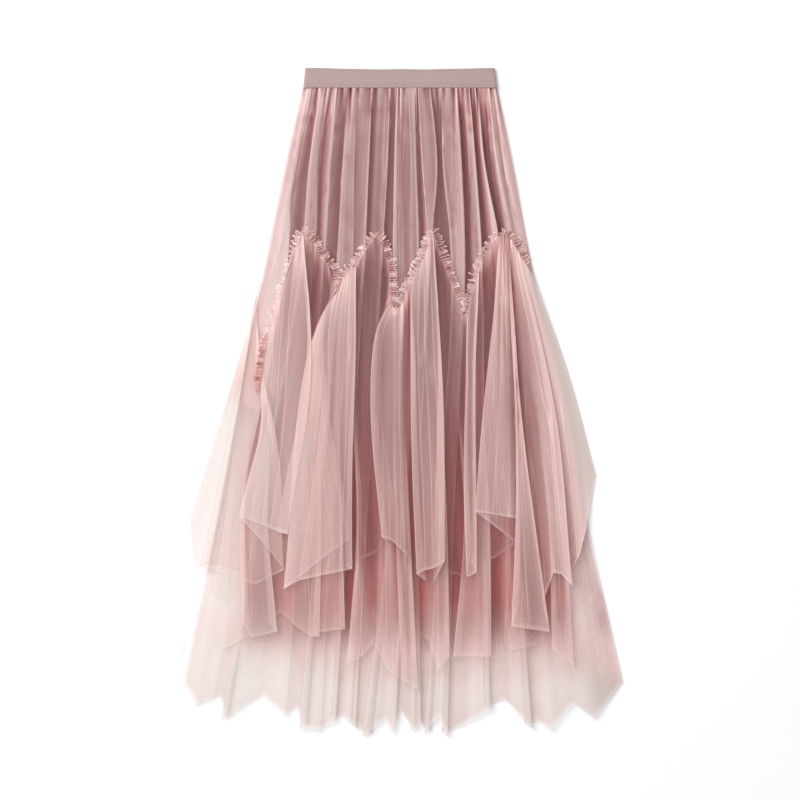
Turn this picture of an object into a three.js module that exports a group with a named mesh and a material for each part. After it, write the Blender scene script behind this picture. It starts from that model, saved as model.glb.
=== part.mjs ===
// A long tulle skirt, laid flat on its back with the waist towards +Y and its front facing +Z.
// An elastic band carries a gathered net skirt, front and back, over an opaque lining.
// Two gathered net tiers are stitched on in zigzag lines, the upper one with a ruffled heading.
// Every piece is a closed cloth wall. All sizes are millimetres.

import * as THREE from 'three';

// Driving sizes

const WAIST_Y = 440;
const SEAM_GAP = 0.3;
const BAND = { height: 27.7, dip: 2, thickness: 7.4, wall: 2, bottom: [-139, 132.5], top: [-136.5, 129] };
const BAND_STEPS = { straight: 12, round: 6 };
const NET = 1.6;
const BACK_NET = 1.2;
const LINING = 1.0;
const LINING_HEM_Y = -365;
const LINING_COLUMNS = 6;
const LAYER_GAP = 0.8;
const STEEPEST_FOLD = 1.1;
const SWELL = 0.12;
const HEADING = { width: 9, wave: 12.6, rise: 1.8, start: 9, tip: 4, taper: 40, net: 1.2, ruffle: 0.18 };
const SAMPLES_A_WAVE = 4;
const TIER_PLEAT = { upper: 5, lower: 4 };
const TIER_GATHER = { depth: 1, fadedAt: 0.17 };
const TIER_SEAM_DEPTH = 0.25;
const TIER_FULL_DEPTH_AT = 0.5;
const TIER_ROWS = { upper: [0, 0.05, 0.15, 0.32, 0.5, 0.7, 0.86, 1], lower: [0, 0.08, 0.25, 0.5, 0.76, 1] };
const TIER_BACK_ROWS = [0, 0.33, 0.66, 1];

// How far from each of its points a layer keeps clear of what it lies on
const CLEAR = { x: 8, y: 22 };

// How high the undersides of the back pieces lie
const UPPER_BACK_Z = 0;
const LOWER_BACK_Z = UPPER_BACK_Z + BACK_NET + SEAM_GAP;

// How much of the front's length the back pieces reach, so that the front covers them
const BACK_REACH = { skirt: 0.5, upper: 0.94, lower: 0.82, width: 0.985 };

// Widths of the ramps by which a layer comes down to its side edges
const EDGE_RAMP = { pleats: 40, lining: 0.75, tier: 20, tierSide: 12, overhang: 0.22 };

// Rows of the skirt from waist to hem: underside of the back, fold depth, small gathers at the band,
// share of the room for the lining, and the room for the lower tier, at its edge and for its pleats
const LEVELS = table('y back pleat gather lining tierEdge tierPleat', [
  [440, 0, 1.6, 1.1, 1, 0, 0],
  [427, 0, 2.0, 0.8, 1, 0, 0],
  [405, 0, 2.8, 0.4, 1, 0, 0],
  [370, 0, 3.6, 0, 1, 0, 0],
  [325, 0, 4.6, 0, 1, 0, 0],
  [280, 0, 5.2, 0, 1, 0, 0],
  [240, 1.5, 5.5, 0, 1, 0, 0],
  [180, 1.5, 5.5, 0, 1, 0, 0],
  [110, 1.5, 5.0, 0, 1, 0, 0],
  [50, 3, 5.0, 0, 1, 2.6, 0],
  [-45, 3, 5.0, 0, 1, 2.6, 4],
  [-130, 3, 4.5, 0, 1, 2.6, 4],
  [-215, 3, 4.5, 0, 1, 2.6, 4],
  [-290, 3, 4.0, 0, 1, 2.6, 4],
  [-365, 3, 4.0, 0, 1, 2.6, 4],
  [-468, 0, 4.0, 0, 0, 2.6, 4],
]);

// The rows of it that the flat back and the lining need
const FLAT_ROW_YS = [440, 370, 280, 240, 110, 50, -130, -365, -468];
const FLAT_ROWS = LEVELS.filter(({ y }) => FLAT_ROW_YS.includes(y));

// Outline of the skirt without its tiers
const SIDES = table('y left right', [
  [440, -139, 132],
  [354, -159, 150],
  [255, -179, 168],
  [184, -197, 182],
  [86, -223, 201],
  [-66, -246, 229],
  [-181, -264, 258],
  [-275, -281, 279],
  [-391, -308, 308],
]);

// How far the lining's sides lie inside the skirt's
const LINING_INSET = table('y inset', [
  [440, 16],
  [240, 22],
  [-365, 30],
]);

// Folds of the skirt's front, left to right: x at the waist, the yoke's foot and the hem,
// y of the hem, and how far the net stands up there, from 0 to 1
const YOKE_Y = 235;
const SKIRT_FOLDS = table('waist yoke hemX hemY stand', [
  [-139, -184, -308, -391, 0.3],
  [-132, -174, -288, -424, 0.7],
  [-122, -162, -260, -410, 0.2],
  [-113, -139, -254, -444, 1],
  [-103, -125, -223, -426, 0.6],
  [-94, -111, -197, -410, 0.1],
  [-89, -106, -190, -414, 1],
  [-82, -97, -164, -438, 0.7],
  [-77, -91, -150, -426, 0.1],
  [-72, -86, -145, -456, 1],
  [-65, -76, -131, -448, 0.6],
  [-57, -66, -115, -459, 0.9],
  [-48, -58, -85, -439, 0.2],
  [-40, -49, -57, -468, 1],
  [-26, -37, -40, -454, 0.7],
  [-14, -25, -25, -444, 0],
  [-9, -16, -13, -463, 1],
  [-1, 1, -5, -429, 0.4],
  [9, 16, 12, -460, 0.8],
  [18, 32, 26, -447, 0.2],
  [23, 36, 30, -464, 1],
  [33, 40, 52, -438, 0.6],
  [44, 45, 65, -467, 1],
  [51, 66, 106, -433, 0],
  [59, 79, 124, -425, 0.8],
  [69, 89, 144, -416, 0.2],
  [81, 96, 163, -436, 0.7],
  [88, 104, 182, -455, 1],
  [97, 121, 190, -447, 0.1],
  [107, 134, 208, -458, 1],
  [114, 144, 240, -422, 0.3],
  [122, 158, 268, -442, 0.8],
  [132, 172, 308, -391, 0.3],
]);

// Zigzag line that the upper tier is stitched along
const UPPER_SEAM = table('x y', [
  [-233, 57],
  [-216, 27],
  [-204, 10],
  [-198, 94],
  [-183, 146],
  [-164, 190],
  [-150, 223],
  [-138, 239],
  [-124, 223],
  [-113, 202],
  [-97, 187],
  [-92, 156],
  [-80, 181],
  [-65, 190],
  [-51, 214],
  [-37, 234],
  [-26, 218],
  [-18, 188],
  [-15, 114],
  [-1, 139],
  [10, 162],
  [18, 181],
  [30, 202],
  [43, 239],
  [54, 205],
  [66, 174],
  [78, 142],
  [88, 114],
  [96, 149],
  [106, 183],
  [115, 205],
  [128, 225],
  [141, 236],
  [152, 230],
  [162, 211],
  [180, 184],
]);

// Low points of that line, between which each ruffled heading stands
const HEADING_ENDS = [-204, -92, -15, 88, 180];

// Zigzag line of the lower tier, which the upper one hides
const LOWER_SEAM = table('x y', [
  [-228, 2],
  [-204, -16],
  [-164, 31],
  [-118, 2],
  [-71, 38],
  [2, -4],
  [46, 43],
  [94, 6],
  [136, 43],
  [190, -1],
  [206, 10],
]);

// Pleats of the upper tier, left to right: x at the seam, halfway and at the hem, y of the hem, stand
const UPPER_FOLDS = table('top middle hemX hemY stand', [
  [-233, -265, -300, -172, 0.3],
  [-226, -258, -295, -239, 0.6],
  [-218, -250, -272, -234, 0.8],
  [-208, -239, -253, -215, 1],
  [-204, -229, -241, -204, 0],
  [-198, -202, -227, -158, 1],
  [-183, -190, -211, -164, 0.5],
  [-164, -177, -197, -170, 0.8],
  [-150, -163, -186, -176, 0.4],
  [-138, -150, -179, -180, 0.9],
  [-118, -138, -173, -183, 1],
  [-97, -134, -169, -186, 0],
  [-92, -129, -165, -260, 1],
  [-86, -113, -141, -248, 0.7],
  [-80, -93, -113, -241, 0.5],
  [-74, -80, -88, -236, 0.8],
  [-65, -69, -70, -232, 1],
  [-58, -62, -65, -220, 0],
  [-51, -51, -52, -215, 0.2],
  [-44, -43, -42, -209, 0.5],
  [-37, -38, -35, -200, 0.2],
  [-19, -35, -30, -195, 0],
  [-15, -31, -26, -187, 1],
  [-8, -18, -16, -192, 0.5],
  [-1, -4, -4, -204, 0.7],
  [5, 8, 12, -220, 0.2],
  [10, 13, 20, -241, 1],
  [20, 24, 31, -234, 0.7],
  [36, 41, 44, -253, 0.9],
  [43, 54, 58, -216, 1],
  [51, 60, 63, -202, 0],
  [66, 71, 75, -194, 0.3],
  [84, 81, 84, -188, 0.1],
  [88, 86, 89, -243, 1],
  [97, 93, 96, -241, 0.6],
  [108, 99, 102, -237, 1],
  [120, 105, 106, -192, 0.1],
  [128, 112, 110, -152, 1],
  [135, 130, 130, -156, 0.5],
  [141, 144, 148, -160, 0.8],
  [144, 152, 160, -164, 0.1],
  [147, 158, 165, -313, 1],
  [152, 166, 186, -320, 0.5],
  [155, 176, 204, -330, 1],
  [159, 184, 209, -234, 0.1],
  [163, 197, 223, -240, 0.5],
  [168, 209, 238, -257, 1],
  [172, 219, 248, -215, 0.4],
  [175, 226, 257, -177, 0.7],
  [178, 231, 263, -144, 0.5],
  [181, 236, 271, -102, 0.3],
]);

// Pleats of the lower tier, with the same columns
const LOWER_FOLDS = table('top middle hemX hemY stand', [
  [-228, -248, -276, -321, 0.3],
  [-220, -240, -250, -344, 0.9],
  [-211, -227, -227, -306, 0.2],
  [-197, -211, -211, -328, 0.8],
  [-178, -191, -176, -320, 1],
  [-172, -183, -170, -293, 0],
  [-155, -158, -149, -312, 0.6],
  [-136, -136, -122, -328, 1],
  [-127, -128, -115, -324, 0.3],
  [-108, -106, -99, -318, 0.7],
  [-90, -87, -83, -316, 1],
  [-83, -81, -77, -363, 0.1],
  [-74, -69, -57, -355, 0.9],
  [-57, -48, -43, -332, 0.2],
  [-34, -26, -23, -372, 0.8],
  [-15, -9, -1, -388, 0.4],
  [2, 11, 21, -401, 1],
  [10, 18, 26, -324, 0],
  [24, 30, 36, -332, 0.5],
  [38, 48, 50, -372, 0.9],
  [52, 60, 65, -355, 1],
  [64, 67, 70, -332, 0.1],
  [83, 89, 94, -354, 0.7],
  [108, 115, 122, -355, 1],
  [117, 123, 129, -327, 0.1],
  [136, 145, 153, -346, 0.6],
  [156, 172, 180, -340, 0.3],
  [172, 192, 204, -332, 0],
  [180, 199, 210, -344, 1],
  [189, 213, 229, -360, 0.6],
  [195, 224, 240, -369, 0.9],
  [200, 232, 257, -340, 0.2],
  [206, 240, 274, -321, 0.3],
]);

// Helpers

/** Names the columns of a table. */
function table(names, rows) {
  const keys = names.split(' ');
  return rows.map((row) => Object.fromEntries(keys.map((key, k) => [key, row[k]])));
}

function mix(a, b, share) {
  return a + (b - a) * share;
}

function clamp01(value) {
  return Math.min(1, Math.max(0, value));
}

/** Reads column `value` of a table at `at` of column `key`, straight between rows. */
function lookUp(rows, key, value, at) {
  const rising = rows[rows.length - 1][key] > rows[0][key];
  const sorted = rising ? rows : [...rows].reverse();
  if (at <= sorted[0][key]) return sorted[0][value];
  const next = sorted.findIndex((row) => row[key] >= at);
  if (next < 0) return sorted[sorted.length - 1][value];
  const [a, b] = [sorted[next - 1], sorted[next]];
  return mix(a[value], b[value], (at - a[key]) / (b[key] - a[key]));
}

/** Puts one more fold line between each two, so that every fold swells instead of creasing. */
function withSwells(folds) {
  const out = [];
  folds.forEach((fold, i) => {
    out.push({ ...fold, between: 0 });
    const next = folds[i + 1];
    if (!next) return;
    const middle = Object.fromEntries(Object.keys(fold).map((key) => [key, (fold[key] + next[key]) / 2]));
    middle.stand = clamp01(middle.stand + SWELL);
    out.push({ ...middle, between: 1 });
  });
  return out;
}

/** Lowers fold tops that would stand steeper than cloth does beside their neighbours. */
function settle(heights, xs) {
  const out = [...heights];
  for (let i = 1; i < out.length; i += 1) {
    out[i] = Math.min(out[i], out[i - 1] + STEEPEST_FOLD * (xs[i] - xs[i - 1]));
  }
  for (let i = out.length - 2; i >= 0; i -= 1) {
    out[i] = Math.min(out[i], out[i + 1] + STEEPEST_FOLD * (xs[i + 1] - xs[i]));
  }
  return out;
}

/** A closed mesh from corner points and quads that turn anticlockwise seen from outside. */
function solid(points, quads) {
  const geometry = new THREE.BufferGeometry();
  geometry.setAttribute('position', new THREE.Float32BufferAttribute(points.flat(), 3));
  geometry.setIndex(quads.flatMap(([a, b, c, d]) => [a, b, c, a, c, d]));
  geometry.computeVertexNormals();
  return geometry;
}

/** A closed cloth wall over rows of points [x, y, underside], rows from +Y to -Y, points from -X to +X. */
function clothWall(rows, thickness) {
  const across = rows[0].length;
  const down = rows.length;
  const points = [];
  for (const lift of [thickness, 0]) {
    rows.forEach((row) => row.forEach(([x, y, z]) => points.push([x, y, z + lift])));
  }
  const top = (i, j) => j * across + i;
  const under = (index) => index + across * down;
  const quads = [];
  for (let j = 0; j + 1 < down; j += 1) {
    for (let i = 0; i + 1 < across; i += 1) {
      const cell = [top(i, j), top(i, j + 1), top(i + 1, j + 1), top(i + 1, j)];
      quads.push(cell);
      quads.push([cell[0], cell[3], cell[2], cell[1]].map(under));
    }
  }
  const edge = [];
  for (let j = 0; j + 1 < down; j += 1) edge.push([top(0, j), top(0, j + 1)]);
  for (let i = 0; i + 1 < across; i += 1) edge.push([top(i, down - 1), top(i + 1, down - 1)]);
  for (let j = down - 1; j > 0; j -= 1) edge.push([top(across - 1, j), top(across - 1, j - 1)]);
  for (let i = across - 1; i > 0; i -= 1) edge.push([top(i, 0), top(i - 1, 0)]);
  edge.forEach(([from, to]) => quads.push([from, under(from), under(to), to]));
  return solid(points, quads);
}

// Layers: how high each one's top can reach, which is what the next one lies on

/** Distance from (x, y) to the nearer side of the skirt, negative outside it. */
function insideSkirt(x, y) {
  return Math.min(x - lookUp(SIDES, 'y', 'left', y), lookUp(SIDES, 'y', 'right', y) - x);
}

/** Distance from (x, y) to the nearer side of the lower tier, negative outside it. */
function insideLowerTier(x, y) {
  const folds = [LOWER_FOLDS[0], LOWER_FOLDS[LOWER_FOLDS.length - 1]];
  const [left, right] = folds.map((fold) => {
    const top = lookUp(LOWER_SEAM, 'x', 'y', fold.top);
    return tierX(fold, clamp01((top - y) / (top - fold.hemY)));
  });
  return Math.min(x - left, right - x);
}

/** Underside of the skirt's front before its folds. */
function frontBed(x, y) {
  const inside = Math.max(0, insideSkirt(x, y));
  const ramp = EDGE_RAMP.lining * lookUp(LINING_INSET, 'y', 'inset', y);
  const room = 2 * (LINING + SEAM_GAP) * clamp01(inside / ramp) * lookUp(LEVELS, 'y', 'lining', y);
  return lookUp(LEVELS, 'y', 'back', y) + BACK_NET + SEAM_GAP + room;
}

/** Share of its full depth that a fold of the skirt has near the side edges. */
function foldShare(x, y) {
  return clamp01(insideSkirt(x, y) / EDGE_RAMP.pleats);
}

/** Highest that the skirt's front reaches, and the slope down beyond its sides. */
function frontCeiling(x, y) {
  const inside = insideSkirt(x, y);
  const folds = (lookUp(LEVELS, 'y', 'pleat', y) + lookUp(LEVELS, 'y', 'gather', y)) * foldShare(x, y);
  const above = frontBed(x, y) + folds + NET;
  return inside >= 0 ? above : Math.max(BACK_NET, above + inside * EDGE_RAMP.overhang);
}

/** Highest that the lower tier reaches over the skirt's front. */
function lowerCeiling(x, y) {
  const inside = insideLowerTier(x, y);
  const edge = lookUp(LEVELS, 'y', 'tierEdge', y) * clamp01(1 + inside / EDGE_RAMP.tierSide);
  const pleats = lookUp(LEVELS, 'y', 'tierPleat', y) * clamp01(inside / EDGE_RAMP.tier);
  return frontCeiling(x, y) + edge + pleats;
}

/** Underside of a layer that clears `ceiling` at (x, y) and a little way round it. */
function bedOver(ceiling, x, y) {
  const steps = [[0, 0], [CLEAR.x, 0], [-CLEAR.x, 0], [0, CLEAR.y], [0, -CLEAR.y]];
  return LAYER_GAP + Math.max(...steps.map(([dx, dy]) => ceiling(x + dx, y + dy)));
}

// Pieces

/** Point (x, y) of a fold line of the skirt at one row. */
function skirtPoint(fold, level, hemReach) {
  const isHem = level === LEVELS[LEVELS.length - 1];
  const lastRow = LEVELS[LEVELS.length - 2];
  const y = isHem ? mix(lastRow.y, fold.hemY, hemReach) : level.y;
  const left = (at) => lookUp(SIDES, 'y', 'left', at);
  const right = (at) => lookUp(SIDES, 'y', 'right', at);
  const share = (x, at) => (x - left(at)) / (right(at) - left(at));
  const yoke = share(fold.yoke, YOKE_Y);
  const above = mix(yoke, share(fold.waist, WAIST_Y), clamp01((y - YOKE_Y) / (WAIST_Y - YOKE_Y)));
  const across = mix(above, share(fold.hemX, fold.hemY), clamp01((YOKE_Y - y) / (YOKE_Y - fold.hemY)));
  return [mix(left(y), right(y), across), y];
}

function skirtFront() {
  const folds = withSwells(SKIRT_FOLDS);
  const rows = LEVELS.map((level) => {
    const points = folds.map((fold) => skirtPoint(fold, level, 1));
    const stands = folds.map((fold, i) => {
      const stand = level.pleat * fold.stand + level.gather * fold.between;
      return stand * foldShare(...points[i]);
    });
    const heights = settle(stands, points.map(([x]) => x));
    return points.map(([x, y], i) => [x, y, frontBed(x, level.y) + heights[i]]);
  });
  return clothWall(rows, NET);
}

function skirtBack() {
  const rows = FLAT_ROWS.map((level) => SKIRT_FOLDS.map((fold) => {
    const [x, y] = skirtPoint(fold, level, BACK_REACH.skirt);
    return [x * BACK_REACH.width, y, level.back];
  }));
  return clothWall(rows, BACK_NET);
}

/** One of the two layers of lining, counted up from the skirt's back. */
function lining(layer) {
  const ys = FLAT_ROWS.map((level) => level.y).filter((y) => y >= LINING_HEM_Y);
  const rows = ys.map((y) => {
    const inset = lookUp(LINING_INSET, 'y', 'inset', y);
    const left = lookUp(SIDES, 'y', 'left', y) + inset;
    const right = lookUp(SIDES, 'y', 'right', y) - inset;
    const z = lookUp(LEVELS, 'y', 'back', y) + BACK_NET + SEAM_GAP + layer * (LINING + SEAM_GAP);
    return Array.from({ length: LINING_COLUMNS + 1 }, (_, i) => [mix(left, right, i / LINING_COLUMNS), y, z]);
  });
  return clothWall(rows, LINING);
}

/** x of a tier's fold line, `share` of the way from its seam to its hem: a curve through its three places. */
function tierX(fold, share) {
  const straight = mix(fold.top, fold.hemX, share);
  const bow = fold.middle - (fold.top + fold.hemX) / 2;
  return straight + 4 * bow * share * (1 - share);
}

function tierPoints(folds, seam, shares) {
  return shares.map((share) => folds.map((fold) => {
    const top = lookUp(seam, 'x', 'y', fold.top);
    return [tierX(fold, share), mix(top, fold.hemY, share)];
  }));
}

function tierFront(folds, seam, shares, pleat, ceiling, edgeRamp) {
  const lines = withSwells(folds);
  const rows = tierPoints(lines, seam, shares).map((points, j) => {
    const xs = points.map(([x]) => x);
    const depth = pleat * mix(TIER_SEAM_DEPTH, 1, clamp01(shares[j] / TIER_FULL_DEPTH_AT));
    const gather = TIER_GATHER.depth * clamp01(1 - shares[j] / TIER_GATHER.fadedAt);
    const stands = lines.map((fold, i) => {
      const fromSide = Math.min(xs[i] - xs[0], xs[xs.length - 1] - xs[i]);
      return (depth * fold.stand + gather * fold.between) * clamp01(fromSide / edgeRamp);
    });
    const heights = settle(stands, xs);
    return points.map(([x, y], i) => [x, y, bedOver(ceiling, x, y) + heights[i]]);
  });
  return clothWall(rows, NET);
}

function tierBack(folds, seam, reach, z) {
  const shares = TIER_BACK_ROWS.map((share) => share * reach);
  const rows = tierPoints(folds, seam, shares).map((points) => (
    points.map(([x, y]) => [x * BACK_REACH.width, y, z])
  ));
  return clothWall(rows, BACK_NET);
}

/** Flattened loop of elastic: an outer and an inner ring, its upper edge dipping in the middle. */
function waistband() {
  const { straight, round } = BAND_STEPS;
  const section = (radius, left, right) => {
    const middle = BAND.thickness / 2;
    const [from, to] = [left + middle, right - middle];
    const points = [];
    for (let i = 0; i < straight; i += 1) points.push([mix(from, to, i / straight), middle - radius]);
    for (let i = 0; i < round; i += 1) {
      const turn = -Math.PI / 2 + (Math.PI * i) / round;
      points.push([to + radius * Math.cos(turn), middle + radius * Math.sin(turn)]);
    }
    for (let i = 0; i < straight; i += 1) points.push([mix(to, from, i / straight), middle + radius]);
    for (let i = 0; i < round; i += 1) {
      const turn = Math.PI / 2 + (Math.PI * i) / round;
      points.push([from + radius * Math.cos(turn), middle + radius * Math.sin(turn)]);
    }
    return points;
  };
  const outer = BAND.thickness / 2;
  const inner = outer - BAND.wall;
  const low = WAIST_Y + SEAM_GAP;
  const lift = (x) => BAND.height - BAND.dip * clamp01(1 - Math.abs(x / BAND.top[1]) ** 2);
  const rings = [
    section(outer, ...BAND.bottom).map(([x, z]) => [x, low, z]),
    section(outer, ...BAND.top).map(([x, z]) => [x, low + lift(x), z]),
    section(inner, ...BAND.top).map(([x, z]) => [x, low + lift(x), z]),
    section(inner, ...BAND.bottom).map(([x, z]) => [x, low, z]),
  ];
  const count = rings[0].length;
  const quads = [];
  for (let r = 0; r < rings.length; r += 1) {
    const [near, far] = [r * count, ((r + 1) % rings.length) * count];
    for (let i = 0; i < count; i += 1) {
      const next = (i + 1) % count;
      quads.push([near + i, far + i, far + next, near + next]);
    }
  }
  return solid(rings.flat(), quads);
}

/** One ruffled heading: a waved strip that stands off the outer side of the tier's seam, over one lobe. */
function heading(from, to) {
  const tops = withSwells(UPPER_FOLDS).map(({ top }) => top);
  const seam = tops.map((x) => new THREE.Vector2(x, lookUp(UPPER_SEAM, 'x', 'y', x)));
  const lobe = seam.filter(({ x }) => x >= from && x <= to);
  const reach = [0];
  for (let i = 1; i < lobe.length; i += 1) reach.push(reach[i - 1] + lobe[i].distanceTo(lobe[i - 1]));
  const length = reach[reach.length - 1];
  const route = lobe.map(({ x, y }, i) => ({ at: reach[i], x, y }));
  const place = (at) => new THREE.Vector2(lookUp(route, 'at', 'x', at), lookUp(route, 'at', 'y', at));
  const waves = Math.round((length - 2 * HEADING.start) / HEADING.wave);
  const samples = waves * SAMPLES_A_WAVE;
  const step = (length - 2 * HEADING.start) / samples;
  const onCorner = (at) => (route.find((corner) => Math.abs(corner.at - at) <= step / 2) ?? { at }).at;
  const inner = [];
  const outer = [];
  for (let i = 0; i <= samples; i += 1) {
    const at = onCorner(HEADING.start + i * step);
    const along = place(at + step).sub(place(at - step)).normalize();
    const out = new THREE.Vector2(-along.y, along.x);
    const fromEnd = Math.min(at, length - at) - HEADING.start;
    const taper = clamp01((fromEnd + HEADING.tip) / (HEADING.taper + HEADING.tip));
    const width = HEADING.width * taper * (1 + HEADING.ruffle * (i % 2));
    const phase = i % SAMPLES_A_WAVE;
    const wave = Math.min(phase, SAMPLES_A_WAVE - phase) / (SAMPLES_A_WAVE / 2);
    const near = place(at).addScaledVector(out, 2 * SEAM_GAP);
    const far = near.clone().addScaledVector(out, width);
    const rise = HEADING.rise * wave * taper;
    inner.push([near.x, near.y, bedOver(lowerCeiling, near.x, near.y) + rise / 2]);
    outer.push([far.x, far.y, bedOver(lowerCeiling, far.x, far.y) + rise]);
  }
  return clothWall([outer, inner], HEADING.net);
}

// Finishes

const FINISHES = {
  net: { color: 0xcfa9a6, roughness: 0.85, metalness: 0 },
  liningCloth: { color: 0xc3807b, roughness: 0.5, metalness: 0 },
  elastic: { color: 0xc2a4a3, roughness: 0.8, metalness: 0 },
  heading: { color: 0xe2c8c4, roughness: 0.85, metalness: 0 },
};

const skirt = new THREE.Group();

function add(name, geometry, finish) {
  const mesh = new THREE.Mesh(geometry, new THREE.MeshStandardMaterial(FINISHES[finish]));
  mesh.name = name;
  skirt.add(mesh);
}

add('waistband', waistband(), 'elastic');
add('skirt_front', skirtFront(), 'net');
add('skirt_back', skirtBack(), 'net');
add('lining_back', lining(0), 'liningCloth');
add('lining_front', lining(1), 'liningCloth');
add('upper_tier_front', tierFront(
  UPPER_FOLDS, UPPER_SEAM, TIER_ROWS.upper, TIER_PLEAT.upper, lowerCeiling, EDGE_RAMP.pleats,
), 'net');
add('upper_tier_back', tierBack(UPPER_FOLDS, UPPER_SEAM, BACK_REACH.upper, UPPER_BACK_Z), 'net');
add('lower_tier_front', tierFront(
  LOWER_FOLDS, LOWER_SEAM, TIER_ROWS.lower, TIER_PLEAT.lower, frontCeiling, EDGE_RAMP.tier,
), 'net');
add('lower_tier_back', tierBack(LOWER_FOLDS, LOWER_SEAM, BACK_REACH.lower, LOWER_BACK_Z), 'net');
HEADING_ENDS.slice(1).forEach((to, i) => add(`heading_${i + 1}`, heading(HEADING_ENDS[i], to), 'heading'));

export default skirt;
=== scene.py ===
"""A long tulle skirt laid flat: elastic band, gathered net over a lining, and two zigzag net tiers.

Tables and sizes of the cloth are in millimetres of the frame, +Y towards the waist and +Z up.
Meshes are in metres. Every sheet is one layer of cloth, laid on what lies under it.
"""

import logging
import math
from dataclasses import dataclass
from enum import Enum
from typing import List, Optional, Sequence, Tuple, Union

import bpy
import numpy as np
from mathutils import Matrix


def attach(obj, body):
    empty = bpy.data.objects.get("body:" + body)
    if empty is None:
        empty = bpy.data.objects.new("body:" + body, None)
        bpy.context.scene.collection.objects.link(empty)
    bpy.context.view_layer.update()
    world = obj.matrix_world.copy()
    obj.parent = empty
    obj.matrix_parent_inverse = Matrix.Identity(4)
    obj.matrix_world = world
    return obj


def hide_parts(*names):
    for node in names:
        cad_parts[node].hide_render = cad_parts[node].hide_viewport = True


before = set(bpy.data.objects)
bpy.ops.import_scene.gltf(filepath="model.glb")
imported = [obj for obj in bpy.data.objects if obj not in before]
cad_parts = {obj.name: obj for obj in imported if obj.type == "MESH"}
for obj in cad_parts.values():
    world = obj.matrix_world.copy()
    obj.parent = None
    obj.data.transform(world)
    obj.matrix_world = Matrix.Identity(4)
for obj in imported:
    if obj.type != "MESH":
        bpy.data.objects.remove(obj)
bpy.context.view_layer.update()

LOG = logging.getLogger("skirt")
MM = 0.001
BODY = "root"
Array = np.ndarray


# Plain helpers


def ramp(value: Union[float, Array], low: float, high: float) -> Union[float, Array]:
    """Goes smoothly from 0 at `low` to 1 at `high`."""
    share = np.clip((np.asarray(value, float) - low) / (high - low), 0.0, 1.0)
    return share * share * (3.0 - 2.0 * share)


def smooth_through(stations: Sequence[float], values: Sequence[float], at: Array) -> Array:
    """Reads a smooth curve through a few points.

    Args:
        stations: where the points are, rising.
        values: the curve's values there.
        at: where to read it.

    Returns:
        The curve's values at `at`, straight beyond both ends.
    """
    s, v = np.asarray(stations, float), np.asarray(values, float)
    slopes = np.gradient(v, s)
    k = np.clip(np.searchsorted(s, at) - 1, 0, len(s) - 2)
    span = s[k + 1] - s[k]
    t = np.clip((at - s[k]) / span, 0.0, 1.0)
    return (
        v[k] * (2 * t**3 - 3 * t**2 + 1)
        + slopes[k] * span * (t**3 - 2 * t**2 + t)
        + v[k + 1] * (3 * t**2 - 2 * t**3)
        + slopes[k + 1] * span * (t**3 - t**2)
    )


@dataclass(frozen=True)
class Waves:
    """Uneven waves along one direction, as a sum of a few sines with seeded phases."""

    pitch: float
    depth: float
    seed: int
    count: int = 4
    spread: float = 0.35

    def __call__(self, at: Array) -> Array:
        """Heights of the waves at `at`, from -depth to depth."""
        draw = np.random.default_rng(self.seed)
        total = np.zeros_like(np.asarray(at, float))
        for _ in range(self.count):
            pitch = self.pitch * (1 + self.spread * draw.uniform(-1, 1))
            total = total + np.sin(2 * math.pi * (at / pitch + draw.uniform()))
        return self.depth * total / math.sqrt(self.count)


# Shader nodes


class Value:
    """A number or colour in a material, which Python's operators work on when it is a number."""

    def __init__(self, graph: "Graph", socket: bpy.types.NodeSocket) -> None:
        """Wraps one output socket of `graph`."""
        self.graph = graph
        self.socket = socket

    def _math(self, operation: str, left: "Number", right: "Number") -> "Value":
        """Adds one Math node on two values."""
        return self.graph.node("ShaderNodeMath", {"operation": operation}, {0: left, 1: right})

    def __add__(self, other: "Number") -> "Value":
        """Adds."""
        return self._math("ADD", self, other)

    __radd__ = __add__

    def __sub__(self, other: "Number") -> "Value":
        """Subtracts."""
        return self._math("SUBTRACT", self, other)

    def __rsub__(self, other: "Number") -> "Value":
        """Subtracts from a number."""
        return self._math("SUBTRACT", other, self)

    def __mul__(self, other: "Number") -> "Value":
        """Multiplies."""
        return self._math("MULTIPLY", self, other)

    __rmul__ = __mul__

    def __rpow__(self, other: "Number") -> "Value":
        """Raises a number to this power."""
        return self._math("POWER", other, self)

    def limited(self, low: float, high: float) -> "Value":
        """Keeps the value between two numbers."""
        return self._math("MINIMUM", self._math("MAXIMUM", self, low), high)

    def between(self, low: float, high: float) -> "Value":
        """Goes smoothly from 0 at `low` to 1 at `high`."""
        settings = {"interpolation_type": "SMOOTHSTEP"}
        return self.graph.node("ShaderNodeMapRange", settings, {0: self, 1: low, 2: high})


Number = Union[float, Value]
Colour = Tuple[float, float, float]


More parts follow.
